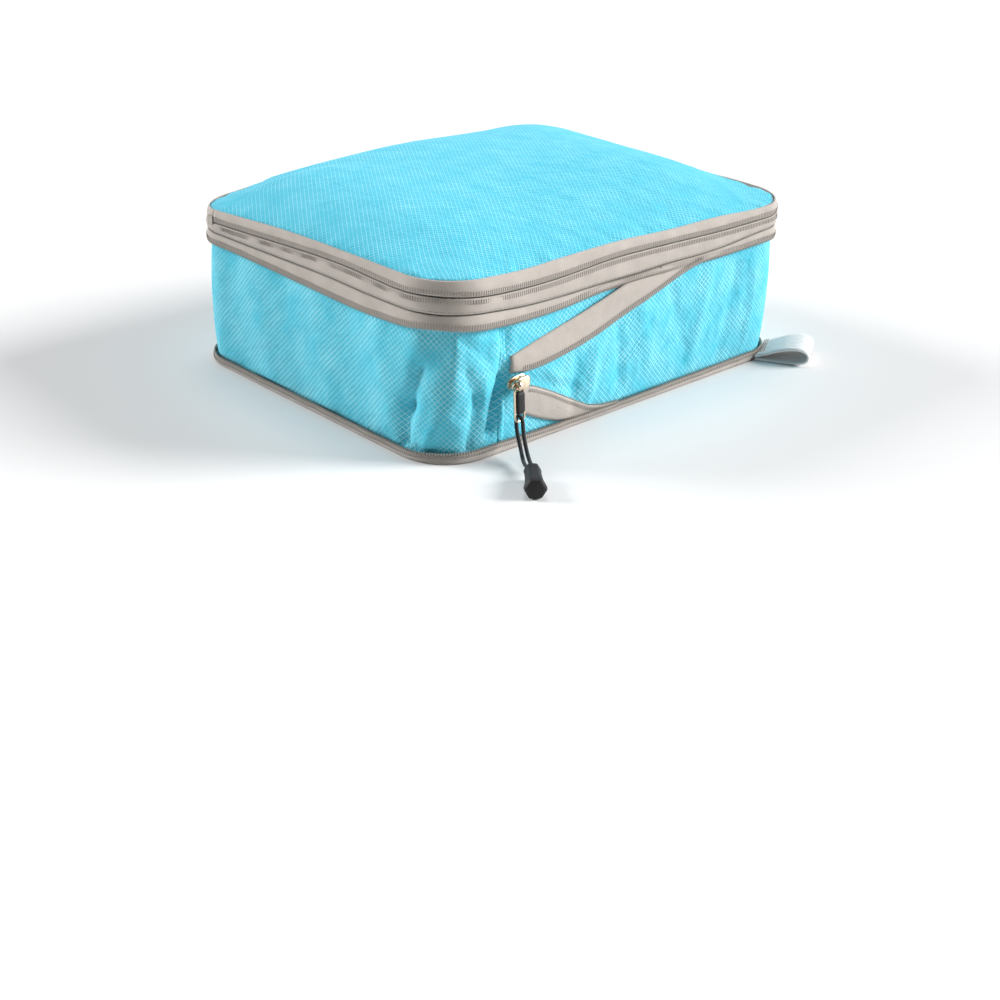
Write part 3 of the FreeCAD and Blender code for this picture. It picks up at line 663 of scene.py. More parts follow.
def wall_offset(s, z):
    """How far the gusset's cloth stands outside the outline before it settles: its listed folds."""
    height = np.clip((z - GUSSET_LOW) / (GUSSET_HIGH - GUSSET_LOW), 0, 1)
    belly = np.sin(math.pi * height) ** 0.8
    corner = from_corner(s)
    x = s - front(0)
    out = -1.6 + 1.7 * belly
    ends = smooth_step(z, GUSSET_LOW, GUSSET_LOW + 2.5) * (1 - smooth_step(z, GUSSET_HIGH - 3, GUSSET_HIGH))
    relief = np.zeros_like(out)
    for start, end, width, depth in CORNER_FOLDS:
        relief += depth * fold(corner, z, start, end, width)
    relief += corner_facet(corner, z)
    for start, end, width, depth in FRONT_FOLDS:
        relief += depth * fold(x, z, start, end, width)
    for wall, ripples, slant, width in ((left, LEFT_RIPPLES, 14, 7.0), (right, RIGHT_RIPPLES, -12, 8.0),
                                        (back, BACK_RIPPLES, 16, 9.0)):
        for place, depth in ripples:
            relief += depth * hill(s, wall(place + slant * (height - 0.5)), width)
    seam = np.minimum(s, AROUND - s)
    relief += -2.6 * hill(seam, 0.0, 2.2) * smooth_step(z, 36.0, 46.0)
    return out + relief * (0.15 + 0.85 * ends)


def footprint(tape, x, z, margin):
    """1 inside a tape's outline on the front wall, falling to 0 over a margin."""
    share = np.linspace(0, 1, 60)
    sx, sz = curve_through(tape["sewn"], share)
    cx, cz = curve_through(tape["coil"], share)
    best = np.full(np.shape(x), 1e9)
    for k in np.linspace(0, 1, 7):
        px, pz = sx * (1 - k) + cx * k, sz * (1 - k) + cz * k
        for a, b in zip(px, pz):
            best = np.minimum(best, np.hypot(x - a, z - b))
    return 1.0 - smooth_step(best, 1.5, 1.5 + margin)


WALL_COLUMNS, WALL_ROWS = 400, 32
WALL = {}


def build_gusset():
    """The gusset's cloth, all the way round, between the rim and the band."""
    def place(u, v):
        s = u * AROUND
        z = GUSSET_LOW + v * (GUSSET_HIGH - GUSSET_LOW)
        x, y, _, _ = outline(s, wall_offset(s, z))
        return np.stack([x, y, z], 1)

    def weave(u, v):
        s, z = u * AROUND / 10, (GUSSET_LOW + v * (GUSSET_HIGH - GUSSET_LOW)) / 10
        return turned(s, z)

    piece = cloth_grid("gusset_fabric", WALL_COLUMNS, WALL_ROWS, place, weave, closed=True)
    points = coordinates(piece)
    s = np.repeat(np.arange(WALL_COLUMNS) / WALL_COLUMNS * AROUND, WALL_ROWS + 1)
    z = points[:, 2]
    x = s - front(0)
    corner = from_corner(s)
    ends = np.maximum(1 - smooth_step(z, GUSSET_LOW + 1, GUSSET_LOW + 5),
                      smooth_step(z, GUSSET_HIGH - 7, GUSSET_HIGH - 3))
    on_front = (x > -95) & (x < 60)
    tapes = np.maximum(footprint(UPPER_TAPE, x, z, 4.0), footprint(LOWER_TAPE, x, z, 4.0)) * on_front
    slider_spot = hill(x, SLIDER.x, 6.0) * hill(z, SLIDER.z, 6.0)
    seam = hill(np.minimum(s, AROUND - s), 0.0, 1.8) * 0.7
    held = np.clip(np.maximum.reduce([ends, tapes, slider_spot, seam]), 0, 1)
    slack = 0.02 + 0.04 * hill(corner, 4.0, 24.0) + 0.02 * hill(x, -25.0, 26.0) * hill(z, 22.0, 18.0)
    settle(piece, held, slack, 24, 0.3, reach=5.0)
    moved = coordinates(piece)
    ox, oy, nx, ny = outline(s)
    out = (moved[:, 0] - ox) * nx + (moved[:, 1] - oy) * ny
    limit = 1.3 - 2.2 * np.maximum(smooth_step(z, GUSSET_HIGH - 8, GUSSET_HIGH - 3),
                                   1 - smooth_step(z, GUSSET_LOW + 1, GUSSET_LOW + 5))
    excess = np.minimum(0.0, limit - out)
    moved[:, 0] += nx * excess
    moved[:, 1] += ny * excess
    set_coordinates(piece, moved)
    WALL["points"] = moved.reshape(WALL_COLUMNS, WALL_ROWS + 1, 3)
    thicken(piece, FABRIC_THICK)
    publish("gusset_fabric", "base", "fabric", ["gusset_strip"])
    flatten(piece)


def flatten(piece):
    """Give this piece its own copy of its mesh."""
    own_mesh(piece)


def on_wall(s, z, lift):
    """Points a lift in mm outside the settled cloth, at distance s and height z."""
    s, z = np.atleast_1d(np.asarray(s, float)), np.atleast_1d(np.asarray(z, float))
    column = np.mod(s, AROUND) / AROUND * WALL_COLUMNS
    i = np.floor(column).astype(int)
    fi = column - i
    row = np.clip((z - GUSSET_LOW) / (GUSSET_HIGH - GUSSET_LOW) * WALL_ROWS, 0, WALL_ROWS - 1e-6)
    j = np.floor(row).astype(int)
    fj = row - j
    grid = WALL["points"]
    a, b = i % WALL_COLUMNS, (i + 1) % WALL_COLUMNS
    low = grid[a, j] * (1 - fi)[:, None] + grid[b, j] * fi[:, None]
    high = grid[a, j + 1] * (1 - fi)[:, None] + grid[b, j + 1] * fi[:, None]
    points = low * (1 - fj)[:, None] + high * fj[:, None]
    _, _, nx, ny = outline(s)
    points[:, 0] += nx * lift
    points[:, 1] += ny * lift
    points[:, 2] = z
    return points


# ---------------------------------------------------------------- rings of tape

TOOTH_PITCH, TOOTH, STITCH = 1.35, 0.42, 0.17


def outward(s):
    """The outward normals at distances s, as points."""
    _, _, nx, ny = outline(s)
    return np.stack([nx, ny, 0 * nx], 1)


class Strip:
    """A strip of tape between two heights round the walls, swelling a little between its edges."""

    def __init__(self, top, bottom, top_out, bottom_out, swell, span_s=None):
        self.top, self.bottom, self.top_out, self.bottom_out = top, bottom, top_out, bottom_out
        self.swell = swell
        self.first, self.last = span_s or (0.0, AROUND)
        self.closed = span_s is None

    def out(self, s, share):
        """How far the strip's face stands outside the outline, by share of its height."""
        ripple = 0.18 * np.sin(s / 5.3 + 1.7 * np.sin(s / 31.0)) + 0.12 * np.sin(s / 2.9 + 0.6)
        level = self.bottom_out + (self.top_out - self.bottom_out) * share
        return level + self.swell * np.sin(math.pi * share) ** 0.7 + ripple * np.sin(math.pi * share)

    def point(self, s, z, lift=0.0):
        """Points a lift in mm off the strip's face, at distance s and height z."""
        low, high = self.bottom(s), self.top(s)
        share = np.clip((z - low) / (high - low), 0.0, 1.0)
        x, y, _, _ = outline(s, self.out(s, share) + lift)
        return np.stack([x, y, z], 1)

    def build(self, name, body, look, replaced, rows=12, thickness=TAPE_THICK, columns=440):
        """Make the strip's cloth."""
        def place(u, v):
            s = self.first + u * (self.last - self.first)
            low, high = self.bottom(s), self.top(s)
            return self.point(s, low + (high - low) * v)

        def weave(u, v):
            return np.stack([u * (self.last - self.first) / 10, v * 0.9], 1)

        piece = cloth_grid(name, columns, rows, place, weave, closed=self.closed)
        thicken(piece, thickness)
        return publish(name, body, look, replaced)

    def places(self, pitch):
        """Evenly spaced distances along the strip."""
        count = int((self.last - self.first) / pitch)
        return self.first + (np.arange(count) + 0.5) * (self.last - self.first) / count

    def ticks(self, name, height, length, radius, body, look, replaced=(), lift=0.13):
        """A row of upright rods on the strip's face, such as a coil's turns or its stitches."""
        s = self.places(TOOTH_PITCH)
        z = height(s)
        low, high = self.point(s, z - length / 2, lift), self.point(s, z + length / 2, lift)
        rods(name, list(zip(low, high, outward(s))), radius)
        return publish(name, body, look, replaced)

    def running_stitch(self, name, height, pitch, length, radius, body):
        """A row of level stitches on the strip's face."""
        s = self.places(pitch)
        start, stop = (self.point(s + half, height(s + half), 0.05) for half in (-length / 2, length / 2))
        rods(name, list(zip(start, stop, outward(s))), radius, 5, 0.7)
        return publish(name, body, "stitch")


def shifted(curve, rise):
    """A height curve moved up or down."""
    return lambda s: curve(s) + rise


def level(height):
    """A height curve that is the same all round."""
    return lambda s: height + 0 * s


HINGE_REACH = 78.0
MAIN_RUN = (left(HINGE_REACH) - AROUND, right(HINGE_REACH))
HINGE_RUN = (right(HINGE_REACH), left(HINGE_REACH))


def build_bands():
    """The three strips of tape round the top, their coils and their stitches."""
    below_zip, above_seam = shifted(ZIP_LINE, -0.35), shifted(SEAM_LINE, 0.3)
    lid = Strip(BAND_TOP, shifted(ZIP_LINE, 0.35), -0.9, 0.5, 0.75, MAIN_RUN)
    lid.build("lid_tape", "lid", "tape", ["lid_zip_tape"], columns=380)
    lid.ticks("zip_stitches_upper", shifted(ZIP_LINE, 2.0), 2.3, STITCH, "lid", "stitch")
    hinge = Strip(BAND_TOP, shifted(ZIP_LINE, -0.2), -0.9, 0.4, 0.5, HINGE_RUN)
    fold = hinge.build("hinge_strip", None, "tape", ["lid_hinge_strip"], columns=150)
    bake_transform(fold)
    upper = Strip(below_zip, above_seam, 0.45, 0.15, 0.75)
    upper.build("band_upper_tape", "band", "tape", ["band_main_tape"])
    lower = Strip(shifted(SEAM_LINE, -0.3), BAND_BOTTOM, 0.15, 0.9, 0.6)
    lower.build("band_lower_tape", "band", "tape", ["band_comp_tape"])
    lower.ticks("band_coil", shifted(BAND_BOTTOM, 0.1), 1.5, TOOTH, "band", "coil",
                ["band_comp_coil"], lift=-0.1)
    lower.ticks("band_coil_stitches", shifted(BAND_BOTTOM, 1.9), 2.2, STITCH, "band", "stitch")
    upper.running_stitch("band_seam_stitches", shifted(SEAM_LINE, 1.4), 3.0, 2.2, 0.15, "band")
    front_run = Strip(below_zip, above_seam, 0.45, 0.15, 0.75, MAIN_RUN)
    front_run.ticks("zip_stitches_lower", shifted(ZIP_LINE, -2.0), 2.3, STITCH, "band", "stitch")
    for name, rise, body, node in (("main_coil_lower", -1.3, "band", "main_zip_coil_lower"),
                                   ("main_coil_upper", 1.3, "lid", "main_zip_coil_upper")):
        middle = shifted(ZIP_LINE, rise)
        behind = Strip(shifted(middle, 1.2), shifted(middle, -1.2), -0.6, -0.6, 0.0, MAIN_RUN)
        behind.ticks(name, middle, 2.3, 0.5, body, "coil", [node], lift=0.0)
    inner = Strip(shifted(SEAM_LINE, 5.0), shifted(SEAM_LINE, -5.0), -0.75, -0.75, -0.5)
    inner.build("band_inner_binding", "band", "binding", ["band_binding"], rows=4,
                thickness=BINDING_THICK, columns=300)
    folded = Strip(shifted(BAND_TOP, -0.6), shifted(BAND_TOP, -3.6), -2.0, -1.3, -0.3)
    folded.build("lid_inner_binding", "lid", "binding", ["lid_binding"], rows=3,
                 thickness=BINDING_THICK, columns=300)
    rim = Strip(RIM_TOP, level(0.25), 0.55, 0.9, 0.25)
    rim.build("rim_tape", "base", "tape", ["rim_zip_tape"], rows=4)
    rim.ticks("rim_coil", shifted(RIM_TOP, 0.2), 1.3, TOOTH, "base", "coil", ["rim_zip_coil"],
              lift=-0.1)
    rim.ticks("rim_coil_stitches", shifted(RIM_TOP, -1.4), 1.5, 0.18, "base", "stitch")


# ---------------------------------------------------------------- start tapes

RIBBON_LIFT = 0.5


def over_band(z):
    """How much further out a start tape stands where it climbs over the band's lower edge."""
    return 1.5 * smooth_step(z, 54.0, 66.0)


def wall_ribbon(name, tape, replaced):
    """A tape that lies on the front wall's cloth between its two edges."""
    def edges(u, v):
        sx, sz = curve_through(tape["sewn"], u)
        cx, cz = curve_through(tape["coil"], u)
        return sx * (1 - v) + cx * v, sz * (1 - v) + cz * v

    def place(u, v):
        x, z = edges(u, v)
        swell = 0.5 * np.sin(math.pi * v) + 0.7 * v ** 2
        return on_wall(front(x), z, RIBBON_LIFT + over_band(z) + swell)

    def weave(u, v):
        x, z = edges(u, v)
        return np.stack([x / 10 + 0.35 * z / 10, v * 1.2], 1)

    piece = cloth_grid(name, 60, 8, place, weave)
    thicken(piece, 0.55, 1.0)
    publish(name, "base", "tape", replaced)
    flatten(piece)


def edge_teeth(name, edge, lift, inward, length, radius, look, replaced):
    """A coil or a row of stitches along one edge of a tape on the front wall, from the slider on."""
    share = np.linspace(FREE_OF_SLIDER, 1, 400)
    x, z = curve_through(edge, share)
    steps = np.concatenate([[0], np.cumsum(np.hypot(np.diff(x), np.diff(z)))])
    count = int(steps[-1] / TOOTH_PITCH)
    at = (np.arange(count) + 0.5) / count * steps[-1]
    px, pz = np.interp(at, steps, x), np.interp(at, steps, z)
    qx = np.interp(at + 0.5, steps, x) - np.interp(at - 0.5, steps, x)
    qz = np.interp(at + 0.5, steps, z) - np.interp(at - 0.5, steps, z)
    size = np.hypot(qx, qz)
    across_x, across_z = -qz / size, qx / size
    middle_x, middle_z = px + across_x * inward, pz + across_z * inward
    rise = lift + over_band(middle_z)
    low, high = (on_wall(front(middle_x + across_x * half), middle_z + across_z * half, rise)
                 for half in (-length / 2, length / 2))
    rods(name, [(a, b, np.array([0.0, -1.0, 0.0])) for a, b in zip(low, high)], radius)
    flatten(publish(name, "base", look, replaced))


def build_start_tapes():
    """The two halves of the compression zip where they spread from its start."""
    wall_ribbon("start_tape_up", UPPER_TAPE, ["start_tape_upper"])
    wall_ribbon("start_tape_down", LOWER_TAPE, ["start_tape_lower"])
    upper, lower = UPPER_TAPE["coil"], LOWER_TAPE["coil"]
    edge_teeth("start_coil_up", upper, 1.0, 0.0, 1.4, 0.4, "coil", ["start_coil_upper"])
    edge_teeth("start_coil_down", lower, 1.0, 0.0, 1.4, 0.4, "coil", ["start_coil_lower"])
    edge_teeth("start_stitches_up", upper, 1.85, 1.9, 2.3, 0.2, "stitch", [])
    edge_teeth("start_stitches_down", lower, 1.85, -1.7, 1.9, 0.2, "stitch", [])


def build_gusset_seam():
    """The gusset's vertical seam on the front wall: a fold of cloth stitched down."""
    low, high = span("gusset_seam")
    width = 3.4

    def place(u, v):
        s = front(SEAM_X) + (u - 0.5) * width
        z = low.z + v * (high.z - low.z)
        return on_wall(s, z, 0.02 + 0.42 * np.sin(math.pi * u) ** 0.8)

    def weave(u, v):
        return turned(u * width / 10, v * (high.z - low.z) / 10)

    piece = cloth_grid("gusset_seam_fold", 8, 40, place, weave)
    thicken(piece, 0.3)
    flatten(publish("gusset_seam_fold", "base", "fabric", ["gusset_seam"]))


# ---------------------------------------------------------------- lid

def lid_height(x, y):
    """How far the lid's cloth stands above the band's top edge."""
    def ramp(distance, width):
        return 1 - (1 - np.clip(distance / width, 0, 1)) ** 2.0
    rise = (ramp(x + HALF_X, 58.0) * ramp(HALF_X - x, 60.0) * ramp(y + HALF_Y, 92.0)
            * ramp(HALF_Y - y, 50.0))
    crown = 15.9 + 1.4 * (x / HALF_X) - 1.0 * (x / HALF_X) ** 2
    height = crown * rise
    height += -2.6 * hill(x, 106.0, 18.0) * hill(y, -66.0, 22.0)
    height += -1.4 * hill(x + 0.5 * y, -70.0, 22.0) * hill(y, -60.0, 30.0)
    height += -1.5 * hill(x, -112.0, 14.0) * hill(y, 84.0, 16.0)
    height += 0.6 * np.sin(x / 21.0 + y / 37.0) * rise
    return height


LID_COLUMNS, LID_ROWS = 130, 102
LID_INSET = 1.3
LID_LEVEL = 91.0


def lid_place(u, v):
    """Points of the lid: a square grid in the middle that rounds off to the outline at its edge."""
    x, y = (2 * u - 1) * HALF_X, (2 * v - 1) * HALF_Y
    reach = np.maximum(np.abs(2 * u - 1), np.abs(2 * v - 1))
    walk = np.linspace(-AROUND, 2 * AROUND, 9001)
    edge_x, edge_y, _, _ = outline(walk, -LID_INSET)
    angles = np.unwrap(np.arctan2(edge_y, edge_x))
    angles -= 2 * math.pi * round(angles[4500] / (2 * math.pi))
    heading = np.arctan2(y, x)
    radius = np.interp(heading, angles, np.hypot(edge_x, edge_y))
    square = np.hypot(x, y) / np.maximum(reach, 1e-6)
    blend = reach ** 5
    scale = 1 - blend + blend * radius / np.maximum(square, 1e-6)
    x, y = x * scale, y * scale
    s = np.interp(heading, angles, walk)
    inside = np.maximum(edge_distance(x, y) - LID_INSET, 0.0)
    top = BAND_TOP(s)
    base = top + (LID_LEVEL - top) * smooth_step(inside, 0.0, 55.0)
    pucker = 0.5 * np.sin(s / 2.3 + 2.0 * np.sin(s / 17.0)) + 0.4 * np.sin(s / 4.4 + 1.0)
    pucker *= np.exp(-inside / 6)
    tuck = -0.9 * (1 - smooth_step(inside, 0.0, 3.0))
    z = base + tuck + lid_height(x, y) + pucker * smooth_step(inside, 0.0, 2.0)
    return np.stack([x, y, z], 1)


def build_lid():
    """The lid's cloth, with its weave turned against the walls'."""
    def weave(u, v):
        return turned((2 * u - 1) * HALF_X / 10, (2 * v - 1) * HALF_Y / 10, 55.0)

    piece = cloth_grid("lid_fabric", LID_COLUMNS, LID_ROWS, lid_place, weave)
    points = coordinates(piece)
    inside = edge_distance(points[:, 0], points[:, 1])
    held = 1 - smooth_step(inside, 3.0, 7.0)
    slack = 0.006 + 0.012 * np.exp(-inside / 20.0)
    settle(piece, held, slack, 16, 0.5, reach=3.0)
    thicken(piece, FABRIC_THICK)
    publish("lid_fabric", "lid", "lid", ["lid_panel"])


def edge_distance(x, y):
    """How far a point lies inside the outline."""
    qx, qy = np.abs(x) - (HALF_X - CORNER), np.abs(y) - (HALF_Y - CORNER)
    return CORNER - np.hypot(np.maximum(qx, 0), np.maximum(qy, 0)) - np.minimum(np.maximum(qx, qy), 0)


def close_middle(piece):
    """Weld the points that meet along the middle line."""
    weld = piece.modifiers.new("weld", "WELD")
    weld.merge_threshold = 0.12 * MM
    bake(piece)


def build_floor():
    """The cube's floor panel and the binding sewn round its edge inside."""
    def place(u, v):
        s = u * AROUND
        x, y, _, _ = outline(s, -0.2)
        share = 1 - v
        z = 0.35 + 0.25 * np.sin(x * share / 19.0) * np.cos(y * share / 23.0) * smooth_step(v, 0.0, 0.3)
        return np.stack([x * share, y * share, np.maximum(z, 0.1)], 1)

    def weave(u, v):
        points = place(u, v)
        return turned(points[:, 0] / 10, points[:, 1] / 10)

    piece = cloth_grid("floor_fabric", 200, 14, place, weave, closed=True)
    close_middle(piece)
    thicken(piece, 0.6, 1.0)
    publish("floor_fabric", "base", "fabric", ["base_panel"])
    edge = Strip(level(2.6), level(1.2), -2.2, -4.2, 0.6)
    edge.build("floor_binding", "base", "binding", ["base_seam_binding"], rows=4,
               thickness=BINDING_THICK, columns=300)


# ---------------------------------------------------------------- loop

LOOP_ROOT = np.array([117.0, -98.85, 0.2])
LOOP_HEADING = math.radians(-60.0)
LOOP_WIDTH, LOOP_LENGTH = 25.0, 66.0


def level_axes(heading):
    """The level directions ahead along a heading and to its left."""
    return (np.array([math.cos(heading), math.sin(heading), 0.0]),
            np.array([-math.sin(heading), math.cos(heading), 0.0]))


def build_loop():
    """The webbing loop at the front right corner: two layers that part towards the tip."""
    ahead, across = level_axes(LOOP_HEADING)
    floor_run = [(-1.0, 0.7), (6.0, 0.7), (14.0, 0.8), (21.0, 1.1), (26.0, 1.7), (28.6, 3.4), (29.3, 5.4),
                 (28.4, 7.6), (25.8, 9.2), (21.5, 9.6), (15.0, 8.4), (8.0, 5.6), (3.0, 3.4), (-1.0, 2.3)]

    def place(u, v):
        along, lift = curve_through(floor_run, u)
        sway = LOOP_WIDTH * (v - 0.5)
        bow = 0.35 * np.sin(math.pi * v) * np.sin(math.pi * u)
        twist = 0.9 * np.sin(math.pi * u) ** 2 * (v - 0.5)
        return (LOOP_ROOT[None, :] + along[:, None] * ahead + sway[:, None] * across
                + np.stack([0 * u, 0 * u, lift + bow + twist], 1))

    def weave(u, v):
        return np.stack([u * LOOP_LENGTH / 10, v * LOOP_WIDTH / 10], 1)

    piece = cloth_grid("webbing_loop", 89, 10, place, weave)
    thicken(piece, 1.1, 0.0)
    publish("webbing_loop", "base", "webbing", ["grab_loop"])
    rows = []
    for line in (1.4, 2.4, 3.4):
        for k in range(9):
            start = -10.6 + k * 2.4
            lift = 4.15 + 0.42 * line
            base = LOOP_ROOT + ahead * line + np.array([0, 0, lift])
            rows.append((base + across * start, base + across * (start + 1.7), np.array([0.0, 0.0, 1.0])))
    rods("loop_bartack", rows, 0.28, 5)
    publish("loop_bartack", "base", "stitch", ["grab_loop_bartack"])


# ---------------------------------------------------------------- sliders and pulls

SLIDER = Vector((-83.4, -105.6, 35.4))
BRIDGE_SHIFT = 3.2
BAIL_LENGTH = 17.5
BAIL_DROP = math.radians(85.0)
BAIL_DOWN = Vector((0.0, -math.cos(BAIL_DROP), -math.sin(BAIL_DROP)))
HINGE = SLIDER + Vector((-BRIDGE_SHIFT, -3.4, 0.0))
MAIN_SLIDER = Vector((130.0, 66.0, 83.8))
MAIN_HINGE = MAIN_SLIDER + Vector((3.4, -BRIDGE_SHIFT, 0.0))
MAIN_DROP = math.radians(86.0)
MAIN_DOWN = (math.cos(MAIN_DROP), 0.0, -math.sin(MAIN_DROP))
BAIL_WIDTH, BAIL_CORNER, BAIL_WIRE = 6.0, 2.2, 0.62
CORD_RADIUS = 1.0
GRIP_HEADING = math.radians(230.0)
CORD_ROUTE = [
    (-0.1001, -0.1353, 0.0053), (-0.0974, -0.1310, 0.0042), (-0.0940, -0.1252, 0.0048),
    (-0.0908, -0.1194, 0.0088), (-0.0884, -0.1149, 0.0148), (-0.0871, -0.1129, 0.0204),
    (-0.0867, -0.1079, 0.0204), (-0.0866, -0.1086, 0.0124), (-0.0902, -0.1158, 0.0056),
    (-0.0960, -0.1232, 0.0042), (-0.1000, -0.1294, 0.0046), (-0.1019, -0.1337, 0.0053),
]


def build_cord():
    """The pull's doubled cord: one length from the moulded end, round the bail and back."""
    data = bpy.data.curves.new("pull_cord", "CURVE")
    data.dimensions = "3D"
    data.resolution_u = 24
    data.bevel_depth = CORD_RADIUS * MM
    data.bevel_resolution = 5
    data.use_fill_caps = True
    spline = data.splines.new("NURBS")
    spline.points.add(len(CORD_ROUTE) - 1)
    for point, place in zip(spline.points, CORD_ROUTE):
        point.co = (*place, 1.0)
    spline.order_u = 3
    spline.use_endpoint_u = True
    cord = new_object("pull_cord", data)
    data.materials.append(MATERIALS["braid"])
    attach(cord, "comp_pull")
    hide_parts("comp_pull_cord")
    return cord


def squared(value, power):
    """A sine or cosine raised so that a circle turns into a rounded square."""
    return math.copysign(abs(value) ** power, value)


def plate_outline(length, nose, tail):
    """A zip slider's outline seen from the front: wide shoulders at the nose, narrower at the tail."""
    points, count, power = [], 40, 0.62
    for k in range(count):
        angle = 2 * math.pi * k / count
        along = math.cos(angle)
        width = (nose + tail) / 2 + (nose - tail) / 2 * math.tanh(2.2 * along)
        points.append((length / 2 * squared(along, power), width / 2 * squared(math.sin(angle), power)))
    return points


def stacked(name, outline_points, levels, place, axes):
    """A closed solid of scaled copies of one outline at several heights: (height, scale)."""
    points = []
    x_axis, y_axis, z_axis = (np.array(a, float) for a in axes)
    for height, scale in levels:
        points += [np.array(place) + x_axis * a * scale + y_axis * b * scale + z_axis * height
                   for a, b in outline_points]
    return mesh_object(name, points, tube(len(levels), len(outline_points)))


def join(name, pieces):
    """Join several objects into one and name it."""
    with bpy.context.temp_override(active_object=pieces[0], selected_editable_objects=pieces,
                                   selected_objects=pieces):
        bpy.ops.object.join()
    pieces[0].name = name
    pieces[0].data.name = name
    return pieces[0]


def build_slider(name, place, axes, body, node):
    """A zip slider: a rounded top plate, a back plate, the post between them and a bridge on top."""
    outline_points = plate_outline(12.0, 7.6, 5.6)
    top = stacked(f"{name}_top", outline_points,
                  [(1.1, 0.90), (1.2, 0.97), (1.5, 1.0), (1.9, 0.99), (2.2, 0.93), (2.4, 0.80)], place, axes)
    bottom = stacked(f"{name}_bottom", outline_points,
                     [(-2.0, 0.86), (-1.9, 0.94), (-1.6, 1.0), (-1.3, 0.98), (-1.1, 0.9)], place, axes)
    x_axis, y_axis, z_axis = (np.array(a, float) for a in axes)
    post = stacked(f"{name}_post", [(-5.0, -0.4), (-3.2, -0.55), (-3.2, 0.55), (-5.0, 0.4)],
                   [(-1.3, 1.0), (1.3, 1.0)], place, axes)
    piece = join(f"{name}_plates", [top, bottom, post])
    bevel = piece.modifiers.new("round", "BEVEL")
    bevel.width, bevel.segments = 0.12 * MM, 2
    bevel.limit_method = "ANGLE"
    bake(piece)
    publish(piece.name, body, "metal", [f"{node}_body"])
    path, reach = [], 2.55
    for k in range(17):
        angle = math.pi * k / 16
        centre = (np.array(place) - x_axis * BRIDGE_SHIFT + y_axis * (reach * math.cos(angle))
                  + z_axis * (2.2 + 2.75 * math.sin(angle)))
        up = y_axis * math.cos(angle) + z_axis * math.sin(angle)
        path.append((centre, x_axis, up))
    wide = [(1.25, -0.45), (1.25, 0.25), (0.9, 0.55), (-0.9, 0.55), (-1.25, 0.25), (-1.25, -0.45)]
    swept(f"{name}_arch", path, wide)
    publish(f"{name}_arch", body, "metal", [f"{node}_bridge"])


def wire_loop(name, hinge, down, across, length):
    """A closed wire bail that hangs from its top bar at the hinge."""
    down = np.array(down, float)
    side = np.array(across, float)
    normal = np.cross(down, side)
    centre = np.array(hinge) + down * length / 2
    path, steps = [], 7
    for quarter, (sx, sy) in enumerate(((1, 1), (-1, 1), (-1, -1), (1, -1))):
        for k in range(steps + 1):
            angle = math.pi / 2 * (quarter + k / steps)
            a = sx * (BAIL_WIDTH / 2 - BAIL_CORNER) + BAIL_CORNER * math.cos(angle)
            b = sy * (length / 2 - BAIL_CORNER) + BAIL_CORNER * math.sin(angle)
            away = side * math.cos(angle) + down * math.sin(angle)
            path.append((centre + side * a + down * b, normal, away))
    return swept(name, path, circle(BAIL_WIRE), closed=True)


def build_pulls():
    """Both sliders, their bails, and the compression slider's keeper, cord and moulded end."""
    build_slider("slider_front", SLIDER, ((1, 0, 0), (0, 0, 1), (0, -1, 0)), "comp_slider", "comp_slider")
    build_slider("slider_main", MAIN_SLIDER, ((0, 1, 0), (0, 0, 1), (1, 0, 0)), "main_slider",
                 "main_slider")
    wire_loop("pull_bail", HINGE, BAIL_DOWN, (1, 0, 0), BAIL_LENGTH)
    publish("pull_bail", "comp_bail", "metal", ["comp_pull_bail"])
    wire_loop("main_bail", MAIN_HINGE, MAIN_DOWN, (0, 1, 0), 17.0)
    publish("main_bail", "main_bail", "metal", ["main_slider_bail"])
    build_keeper(np.array(BAIL_DOWN))
    grip = build_grip()
    cord = build_cord()


def build_keeper(down):
    """The moulded keeper that fills the bail, narrower in its middle."""
    side = np.array([1.0, 0.0, 0.0])
    normal = np.cross(side, down)
    path = []
    for k in range(15):
        share = k / 14
        width = 2.9 - 0.3 * math.sin(math.pi * share) - 0.8 * (2 * share - 1) ** 8
        depth = 1.55 - 0.6 * (2 * share - 1) ** 8
        point = np.array(HINGE) + down * (2.6 + 10.9 * share) + side * 0.35
        path.append((point, side * width, normal * depth))
    turns = [2 * math.pi * k / 20 for k in range(20)]
    section = [(squared(math.cos(turn), 0.55), squared(math.sin(turn), 0.55)) for turn in turns]
    swept("pull_keeper", path, section)
    publish("pull_keeper", "comp_bail", "rubber", ["comp_pull_keeper"])


